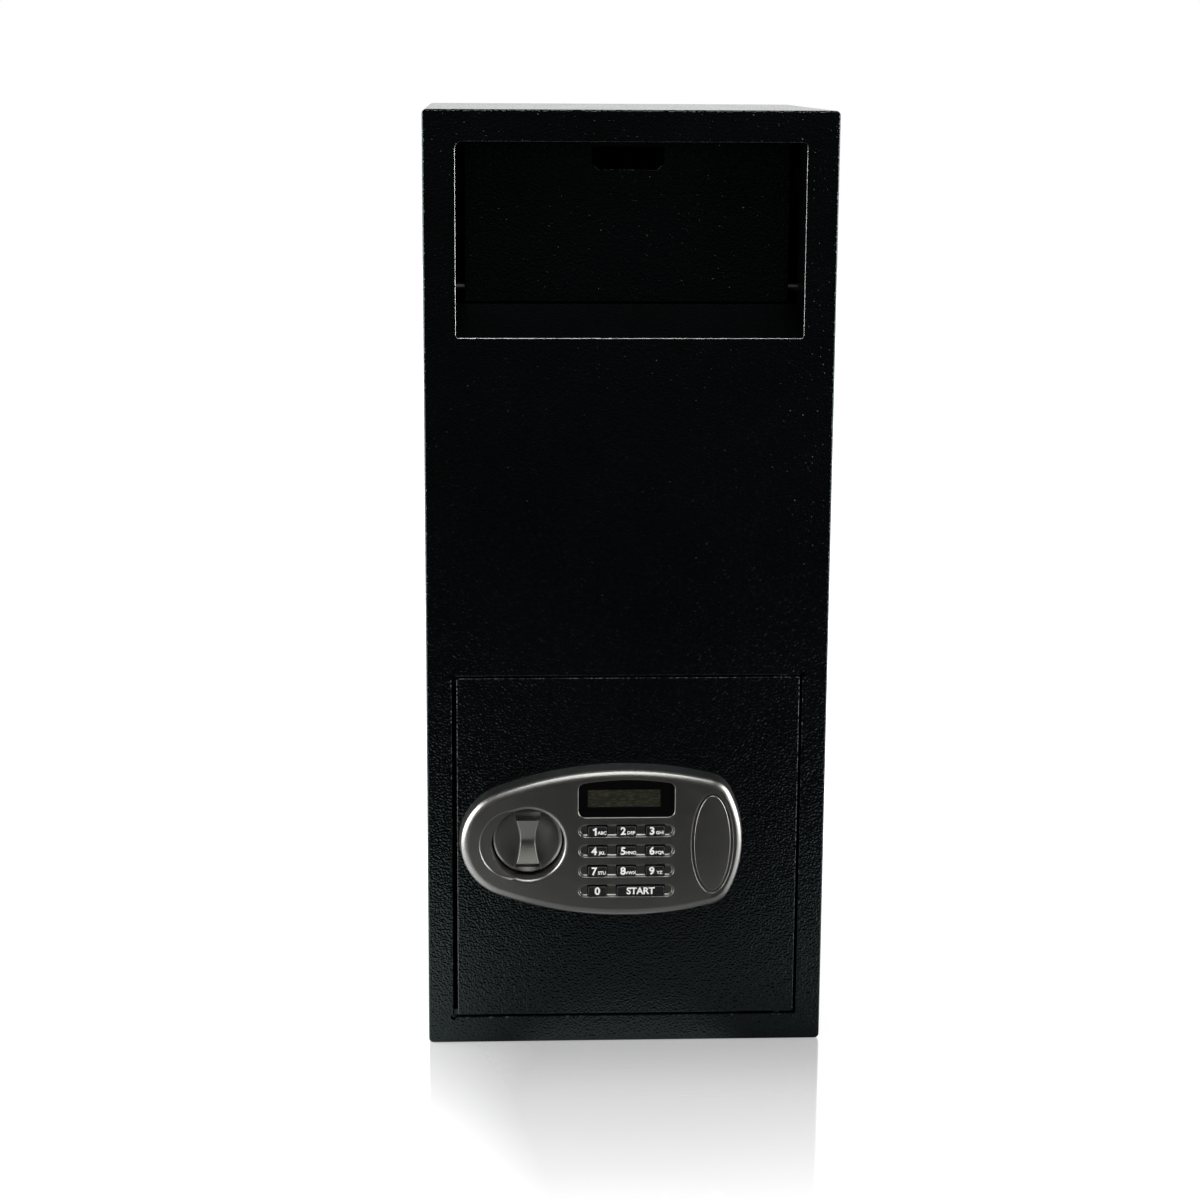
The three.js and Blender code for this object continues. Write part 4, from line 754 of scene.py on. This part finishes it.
def make_faceplate():
    """The egg-shaped shell, hollow behind, with its well, window, grooves, key holes and oval pocket."""
    shoulder = FACE + RIM_HEIGHT
    rings = [ring_at(panel_outline(0.0), FOOT)]
    for k in range(17):
        turn = k / 16 * math.pi / 2
        inset = DRAFT + RIM_WIDTH * (1 - math.cos(turn))
        rings.append(ring_at(panel_outline(inset), shoulder - RIM_HEIGHT * math.sin(turn)))
    body = loft("faceplate", rings)
    face_back = FACE + WALL
    hollow = loft("hollow", [
        ring_at(panel_outline(WALL), FOOT + 1 * MM),
        ring_at(panel_outline(WALL + DRAFT), shoulder + 1 * MM),
        ring_at(panel_outline(WALL + DRAFT + RIM_WIDTH / 2), face_back),
    ])
    combine(body, [hollow], "DIFFERENCE")

    keys = key_boxes()
    rows = sorted({round(z, 5) for _, _, z, *_ in keys})
    boss_low = rows[0] - GROOVE_HEIGHT / 2 - 2 * MM
    boss_high = rows[-1] + GROOVE_HEIGHT / 2 + 2 * MM
    boss_z = (boss_low + boss_high) / 2
    boss = plate(
        "boss",
        rounded_rectangle(WINDOW_X, boss_z, GROOVE_LENGTH + 6 * MM, boss_high - boss_low, 1 * MM),
        face_back - OVERLAP,
        face_back + BOSS_DEPTH,
    )
    floor = WELL_RADIUS - WELL_EDGE
    cup = turned(
        "cup",
        [(floor + CUP_WALL, face_back - OVERLAP), (floor + CUP_WALL, FOOT - 0.01 * MM)],
        (KNOB_X, PANEL_Z),
    )
    pad = turned(
        "pad",
        [
            (CRESCENT_RADIUS + 2 * MM, face_back - OVERLAP),
            (CRESCENT_RADIUS + 2 * MM, face_back + CRESCENT_DEPTH),
        ],
        (CRESCENT_X, PANEL_Z),
    )
    combine(body, [boss, cup, pad], "UNION")

    mouth = [(floor + WELL_FLARE * grow, FACE + rise) for grow, rise in edge_round(WELL_EDGE, 8)]
    well = turned(
        "well",
        [(floor + WELL_FLARE * WELL_EDGE, FACE - 2 * MM), *mouth, (floor, FOOT + 2 * MM)],
        (KNOB_X, PANEL_Z),
        128,
    )
    lip = [(CRESCENT_RADIUS + grow, FACE + rise) for grow, rise in edge_round(0.9 * MM, 5)]
    foot = [
        (CRESCENT_RADIUS - 0.25 * MM, FACE + CRESCENT_DEPTH - 0.25 * MM),
        (CRESCENT_RADIUS - 0.8 * MM, FACE + CRESCENT_DEPTH),
    ]
    crescent = turned(
        "crescent",
        [(CRESCENT_RADIUS + 0.9 * MM, FACE - 2 * MM), *lip, *foot],
        (CRESCENT_X, PANEL_Z),
        128,
    )
    window = opening("window", window_outline, FACE, face_back + 1 * MM, 0.7 * MM)
    grooves = [groove_cutter(z) for z in rows]

    def key_outline(x, z, width, height):
        def drawn(inset):
            grown = 2 * (KEY_GAP - inset)
            return rounded_rectangle(x, z, width + grown, height + grown, 1.2 * MM - inset)

        return drawn

    key_cutters = [
        opening("key_hole", key_outline(x, z, width, height), FACE, face_back + 4 * MM, 0.3 * MM, 3)
        for _, x, z, width, height, *_ in keys
    ]
    low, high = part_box("override_cover")
    oval_x = (low.x + high.x) / 2

    def pocket_outline(inset):
        return ellipse(oval_x, PANEL_Z, OVAL_WIDTH - 2 * inset, OVAL_HEIGHT - 2 * inset)

    def hatch_outline(inset):
        return pocket_outline(inset + OVAL_STEP)

    moat = loft("moat", [
        ring_at(pocket_outline(-MOAT_WIDTH * (1 + 1 * MM / MOAT_DEPTH)), FACE - 1 * MM),
        ring_at(pocket_outline(-MOAT_WIDTH), FACE),
        ring_at(pocket_outline(-0.7 * MM), FACE + MOAT_DEPTH),
    ])
    pocket = opening("pocket", pocket_outline, FACE + MOAT_DEPTH, FACE + OVAL_STEP_DEPTH + 0.5 * MM, 0.5 * MM)
    hatch = opening("hatch", hatch_outline, FACE + OVAL_STEP_DEPTH, face_back + 1 * MM, 0.3 * MM)
    combine(body, [moat, crescent, well, window, *grooves, *key_cutters, pocket, hatch], "DIFFERENCE")
    soften(body, 0.3 * MM)
    finish_piece(body, "door", "panel_grey", ["lock_faceplate"])


def make_override_cover():
    """The oval lid, barely crowned."""
    low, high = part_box("override_cover")
    x, z = (low.x + high.x) / 2, (low.z + high.z) / 2
    width, height = high.x - low.x, high.z - low.z

    def outline(inset):
        return ellipse(x, z, width - 2 * inset, height - 2 * inset)

    rim = low.y + OVAL_CROWN
    rings = [
        ring_at(outline(0.33 * width), low.y),
        ring_at(outline(0.2 * width), low.y + 0.2 * OVAL_CROWN),
        ring_at(outline(1.2 * MM), rim),
    ]
    rings += [ring_at(outline(grow), rim + rise) for grow, rise in edge_round(0.8 * MM, 5)]
    rings.append(ring_at(outline(0.0), high.y))
    cover = loft("oval_cover", rings)
    soften(cover, 0.15 * MM)
    finish_piece(cover, "override_lid", "panel_grey", ["override_cover"])


DISC_INSET = 0.7 * MM
DISC_CHAMFER = 0.4 * MM
DISC_THICKNESS = 3.4 * MM
DISC_DOME = 4.5 * MM
DISC_DROP = 2.4 * MM
DISC_LIP = 0.6 * MM
DISC_DISH = 0.8 * MM
DISH_STEEPNESS = 1.6


def make_knob():
    """A dished disc with a domed rim, and the grip across it."""
    low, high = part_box("knob")
    x, z = (low.x + high.x) / 2, (low.z + high.z) / 2
    radius = (high.x - low.x) / 2 - DISC_INSET
    back = high.y
    front = back - DISC_THICKNESS
    profile = [(0.0, back), (radius - DISC_CHAMFER, back), (radius, back - DISC_CHAMFER)]
    crest = radius - DISC_DOME
    for k in range(9):
        turn = k / 8 * math.pi / 2
        out = crest + DISC_DOME * math.cos(turn)
        profile.append((out, front + DISC_DROP - DISC_DROP * math.sin(turn)))
    for k in range(1, 15):
        share = k / 14
        curve = 0.5 - 0.5 * math.cos(math.pi * min(1.0, share * DISH_STEEPNESS))
        profile.append(((crest - DISC_LIP) * (1 - share), front + DISC_DISH * curve))
    disc = turned("turning_knob", profile, (x, z), 128)
    grip = make_grip(x, z, front, back)
    combine(disc, [grip], "UNION")
    soften(disc, 0.35 * MM, 40.0)
    finish_piece(disc, "knob", "knob_grey", ["knob"])


GRIP_LENGTH = 54 * MM
GRIP_PLATEAU = 39 * MM
GRIP_END_WIDTH = 20.6 * MM
GRIP_WAIST = 13.4 * MM
GRIP_FLARE = 2 * MM
GRIP_END_HEIGHT = 7.8 * MM
GRIP_WAIST_HEIGHT = 1.4 * MM
GRIP_EDGE = 1 * MM
GRIP_SADDLE = 0.25
GRIP_RISE = 0.2 * MM
GRIP_DRAFT = 0.7 * MM


def make_grip(x, z, front, back):
    """A waisted bar across the disc, lowest at its middle, whose ends slope down to the disc."""
    half_length = GRIP_LENGTH / 2
    half_plateau = GRIP_PLATEAU / 2
    count = 72
    rings = []
    for k in range(count + 1):
        along = -half_length + GRIP_LENGTH * k / count
        share = min(abs(along) / half_plateau, 1.0)
        beyond = max(abs(along) - half_plateau, 0.0) / (half_length - half_plateau)
        ease = 1 - (1 - beyond) ** 2
        saddle = (math.hypot(share, GRIP_SADDLE) - GRIP_SADDLE) / (math.hypot(1.0, GRIP_SADDLE) - GRIP_SADDLE)
        rise = GRIP_WAIST_HEIGHT + (GRIP_END_HEIGHT - GRIP_WAIST_HEIGHT) * saddle
        height = rise * (1 - ease) + GRIP_RISE
        half = (GRIP_WAIST + (GRIP_END_WIDTH - GRIP_WAIST) * share**2) / 2 + GRIP_FLARE * beyond
        top = front - height
        edge = min(GRIP_EDGE, height * 0.9)
        ring = [Vector((x - half - GRIP_DRAFT, back - OVERLAP, z + along))]
        for turn in (0.0, 0.35, 0.7, 1.05, math.pi / 2):
            ring.append(Vector((
                x - half + edge - edge * math.cos(turn),
                top + edge - edge * math.sin(turn),
                z + along,
            )))
        mirror = [Vector((2 * x - point.x, point.y, point.z)) for point in reversed(ring)]
        rings.append(ring + mirror)
    return loft("grip", rings)


def make_window():
    """The black window, and the display glass that fills the hole in it."""
    low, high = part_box("display_window")
    module_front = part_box("lcd_module")[0].y
    glass = rounded_rectangle(PANE_X, PANE_Z, PANE_WIDTH, PANE_HEIGHT, 0.6 * MM)
    front = low.y
    rings = [ring_at(window_outline(inset), front + rise) for inset, rise in WINDOW_EDGE]
    rings.append(ring_at(window_outline(WINDOW_GAP), high.y))
    lens = loft("window_frame", rings)
    cutter = plate("glass_hole", glass, front - 1 * MM, high.y + 1 * MM)
    combine(lens, [cutter], "DIFFERENCE")
    soften(lens, 0.12 * MM)
    finish_piece(lens, "door", "window_black", ["display_window"])
    pane = loft("display_pane", [
        ring_at(glass, front + 0.35 * MM),
        ring_at(glass, module_front - 0.05 * MM),
    ])
    soften(pane, 0.15 * MM)
    finish_piece(pane, "door", "display_glass")


def make_key(name, x, z, width, height, front, back):
    """A cap with soft edges and a barely crowned face, on the flange that keeps it in."""
    face = front + 0.06 * MM

    def outline(inset):
        sunk = height - KEY_LOWERED - 2 * inset
        return rounded_rectangle(x, z - KEY_LOWERED / 2, width - 2 * inset, sunk, KEY_CORNER - inset)

    def flange(inset):
        return rounded_rectangle(x, z, width - 2 * inset, height - 2 * inset, KEY_CORNER - inset)

    rings = [ring_at(outline(KEY_EDGE + 0.05 * MM), face)]
    rings += [ring_at(outline(grow), face + rise) for grow, rise in edge_round(KEY_EDGE, 5)]
    rings.append(ring_at(outline(0.0), back - KEY_FLANGE_DEPTH))
    margin = KEY_GAP + KEY_FLANGE
    rings.append(ring_at(flange(-margin), back - KEY_FLANGE_DEPTH))
    rings.append(ring_at(flange(-margin), back))
    key = loft(f"{name}_cap", rings)
    soften(key, 0.12 * MM)
    finish_piece(key, name, "key_black", [name])


CAPITAL_SHARE = 0.73
LEGEND_THICKNESS = 0.02 * MM
LEGEND_SINK = 0.03 * MM


def make_legend(name, text, body, x, z, front, height, bold, spacing=1.0):
    """Letters this high, of a font whose capitals take up a share of its size."""
    data = bpy.data.curves.new(name, "FONT")
    data.body = text
    data.size = height / CAPITAL_SHARE
    data.align_x = "CENTER"
    data.align_y = "CENTER"
    data.offset = bold
    data.space_character = spacing
    data.extrude = LEGEND_THICKNESS
    data.resolution_u = 4
    place_legend(name, data, body, x, z, front)


def place_legend(name, data, body, x, z, front):
    legend = bpy.data.objects.new(name, data)
    legend.rotation_euler = (math.pi / 2, 0.0, 0.0)
    legend.location = (x, front + LEGEND_SINK, z)
    scene.collection.objects.link(legend)
    dress(legend, LEGEND)
    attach(legend, body)


ONE = [
    (0.06, -0.5),
    (0.3, -0.5),
    (0.3, 0.5),
    (0.12, 0.5),
    (0.02, 0.37),
    (-0.16, 0.3),
    (-0.16, 0.13),
    (0.06, 0.15),
]


def make_one(name, body, x, z, front, height):
    """The figure 1, with its flag, as an outline of its own."""
    data = bpy.data.curves.new(name, "CURVE")
    data.dimensions = "2D"
    data.fill_mode = "BOTH"
    data.extrude = LEGEND_THICKNESS
    stroke = data.splines.new("POLY")
    stroke.points.add(len(ONE) - 1)
    for point, (across, up) in zip(stroke.points, ONE):
        point.co = (across * height, up * height, 0.0, 1.0)
    stroke.use_cyclic_u = True
    place_legend(name, data, body, x, z, front)


LETTERS = {
    "1": "ABC",
    "2": "DEF",
    "3": "GHI",
    "4": "JKL",
    "5": "MNO",
    "6": "PQR",
    "7": "STU",
    "8": "VWX",
    "9": "YZ",
}
DIGIT_HEIGHT = 6.9 * MM
DIGIT_BOLD = 0.3 * MM
DIGIT_ASIDE = 0.18
LETTER_HEIGHT = 2.9 * MM
LETTER_BOLD = 0.13 * MM
LETTER_ASIDE = 0.24
LETTER_DOWN = 0.2
WORD_HEIGHT = 0.9 * DIGIT_HEIGHT
WORD_BOLD = 0.26 * MM
WORD_SPACING = 0.98
LEGEND_DROP = 0.35 * MM


def make_keys():
    for name, x, z, width, height, front, back in key_boxes():
        make_key(name, x, z, width, height, front, back)
        mark = name.split("_")[1]
        if mark in LETTERS:
            digit_x = x - DIGIT_ASIDE * width
            if mark == "1":
                make_one("digit_1", name, digit_x, z - LEGEND_DROP, front, DIGIT_HEIGHT)
            else:
                place = (digit_x, z - LEGEND_DROP)
                make_legend(f"digit_{mark}", mark, name, *place, front, DIGIT_HEIGHT, DIGIT_BOLD)
            place = (x + LETTER_ASIDE * width, z - LETTER_DOWN * height)
            make_legend(f"letters_{mark}", LETTERS[mark], name, *place, front, LETTER_HEIGHT, LETTER_BOLD)
        elif mark == "0":
            make_legend("digit_0", "0", name, x, z - LEGEND_DROP, front, DIGIT_HEIGHT, DIGIT_BOLD)
        else:
            word = ("word_start", "START", name, x, z - LEGEND_DROP)
            make_legend(*word, front, WORD_HEIGHT, WORD_BOLD, WORD_SPACING)


# Studio: each ramp of the floor or the room has its start, its end and the value at both

FLOOR_RADIUS = 9.0
FLOOR_SINK = 0.5 * MM
FLOOR_MIDDLE = 0.05
AHEAD = (-0.7, -0.12, 0.014, 0.28)
# Painted shadow: the floor's tone falls to half towards the foot of the front.
FOOT_PAINTED_SHADOW = (-0.32, -0.18, 1.0, 0.5)
HITHER = (-0.8, -0.35, 0.0, 1.0)
SIDES = (0.06, 0.36, 0.0, 1.0)
BEHIND = (0.1, 0.6, 0.0, 0.8)
PATCH_PLACE = (0.0, 2.2, 0.0)
PATCH_SCALE = (8.3, 13.0, 0.0)
PATCH = (0.6, 1.1, 0.5, 0.0)
GLOW = (0.3, 0.75, 0.84, 1.22)
SHEEN_NEAR = (-0.68, -0.08, 0.0, 0.56)
SHEEN_MIDDLE = (0.24, 0.44, 1.0, 0.0)
SHEEN_FRONT = (-0.08, 0.12, 1.0, 0.0)
ROOM_BACK = (-0.15, 0.25, 0.0, 1.0)
ROOM_LOW = (0.45, 0.8, 1.0, 0.0)
ROOM_ABOVE = (0.2, 0.9, 0.035, 0.03)


def floor_tone(tree, place, along, aside, camera_ray):
    """How pale the floor is: darker towards the camera's end and darker again at the foot of the front, a
    painted shadow there, and pale at the sides and behind.

    A small bright patch lies at the foot of the front, for reflections alone.
    """
    ahead = reckon(tree, "MULTIPLY", ramp(tree, along, *AHEAD), ramp(tree, along, *FOOT_PAINTED_SHADOW))
    beside = reckon(tree, "MULTIPLY", ramp(tree, aside, *SIDES), ramp(tree, along, *HITHER))
    patch = tree.nodes.new("ShaderNodeMapping")
    patch.inputs["Location"].default_value = PATCH_PLACE
    patch.inputs["Scale"].default_value = PATCH_SCALE
    tree.links.new(place, patch.inputs["Vector"])
    bright = ramp(tree, distance(tree, patch.outputs["Vector"]), *PATCH)
    tone = ahead
    for other in (beside, ramp(tree, along, *BEHIND), reckon(tree, "SUBTRACT", bright, camera_ray)):
        tone = reckon(tree, "MAXIMUM", tone, other)
    return tone


def make_floor():
    """White to the camera, with a gloss in front of the object, and a pale floor in reflections."""
    made = bmesh.new()
    bmesh.ops.create_circle(made, cap_ends=True, segments=64, radius=FLOOR_RADIUS)
    floor = new_object("floor", made, smooth=False)
    floor.location = (0.0, 0.0, -FLOOR_SINK)
    material = bpy.data.materials.new("floor")
    material.use_nodes = True
    tree = material.node_tree
    tree.nodes.clear()
    place = tree.nodes.new("ShaderNodeTexCoord").outputs["Object"]
    camera_ray = tree.nodes.new("ShaderNodeLightPath").outputs["Is Camera Ray"]
    split = tree.nodes.new("ShaderNodeSeparateXYZ")
    tree.links.new(place, split.inputs[0])
    along = split.outputs["Y"]
    aside = reckon(tree, "ABSOLUTE", reckon(tree, "SUBTRACT", split.outputs["X"], FLOOR_MIDDLE))

    diffuse = tree.nodes.new("ShaderNodeBsdfDiffuse")
    tree.links.new(floor_tone(tree, place, along, aside, camera_ray), diffuse.inputs["Color"])
    glow = tree.nodes.new("ShaderNodeEmission")
    seen = reckon(tree, "MULTIPLY", camera_ray, ramp(tree, distance(tree, place), *GLOW))
    tree.links.new(seen, glow.inputs["Strength"])
    lit = tree.nodes.new("ShaderNodeAddShader")
    tree.links.new(diffuse.outputs[0], lit.inputs[0])
    tree.links.new(glow.outputs[0], lit.inputs[1])

    gloss = tree.nodes.new("ShaderNodeBsdfGlossy")
    gloss.inputs["Color"].default_value = (1.0, 1.0, 1.0, 1.0)
    gloss.inputs["Roughness"].default_value = 0.05
    sheen = ramp(tree, along, *SHEEN_NEAR)
    for limit in (ramp(tree, aside, *SHEEN_MIDDLE), ramp(tree, along, *SHEEN_FRONT), camera_ray):
        sheen = reckon(tree, "MULTIPLY", sheen, limit)
    mix = tree.nodes.new("ShaderNodeMixShader")
    tree.links.new(sheen, mix.inputs["Fac"])
    tree.links.new(lit.outputs[0], mix.inputs[1])
    tree.links.new(gloss.outputs[0], mix.inputs[2])
    output = tree.nodes.new("ShaderNodeOutputMaterial")
    tree.links.new(mix.outputs[0], output.inputs["Surface"])
    dress(floor, material)


def make_world():
    """White to the camera and low behind the object, and faint everywhere else."""
    world = bpy.data.worlds.new("studio")
    scene.world = world
    world.use_nodes = True
    tree = world.node_tree
    background = tree.nodes["Background"]
    path = tree.nodes.new("ShaderNodeLightPath")
    place = tree.nodes.new("ShaderNodeTexCoord")
    split = tree.nodes.new("ShaderNodeSeparateXYZ")
    tree.links.new(place.outputs["Generated"], split.inputs[0])
    height = split.outputs["Z"]
    back = ramp(tree, split.outputs["Y"], *ROOM_BACK)
    behind = reckon(tree, "MULTIPLY", back, ramp(tree, height, *ROOM_LOW))
    brightest = reckon(tree, "MAXIMUM", behind, ramp(tree, height, *ROOM_ABOVE))
    brightest = reckon(tree, "MAXIMUM", brightest, path.outputs["Is Camera Ray"])
    tree.links.new(brightest, background.inputs["Strength"])
    background.inputs["Color"].default_value = (1.0, 1.0, 1.0, 1.0)


def make_lamp(name, place, target, width, height, glow, spread):
    """A soft box; glow is what it looks like head on, where white paper in the room is about 1.

    With a spread under 180 degrees it has a grid on it, and lights only what it points at.
    """
    data = bpy.data.lights.new(name, "AREA")
    data.shape = "RECTANGLE"
    data.size = width
    data.size_y = height
    half = math.radians(spread) / 2
    focus = math.tan(half) / (math.tan(half) - half) if spread < 179.0 else 1.0
    data.energy = glow * width * height * math.pi / focus
    data.spread = 2 * half
    lamp = bpy.data.objects.new(name, data)
    lamp.location = place
    lamp.rotation_euler = (Vector(target) - Vector(place)).to_track_quat("-Z", "Y").to_euler()
    lamp.visible_camera = False
    scene.collection.objects.link(lamp)


# Lamps: a box at each side, one high in front, and a small one with a grid that points at the knob

LAMPS = {
    "left_box": ((-1.15, -0.4, 0.5), (0.0, -0.4, 0.5), 1.4, 0.97, 6.0, 180.0),
    "right_box": ((1.15, -0.4, 0.5), (0.0, -0.4, 0.5), 1.4, 0.97, 6.2, 180.0),
    "top_box": ((0.0, -1.0, 1.85), (0.0, -0.18, 0.2), 1.4, 0.7, 4.0, 180.0),
    "front_box": ((-0.05, -1.6, 1.4), (-0.05, -0.19, 0.19), 0.9, 0.4, 10.0, 20.0),
}

make_camera()
dress_cad_nodes()
make_faceplate()
make_override_cover()
make_knob()
make_window()
make_keys()
make_floor()
make_world()
for lamp_name, lamp_sizes in LAMPS.items():
    make_lamp(lamp_name, *lamp_sizes)
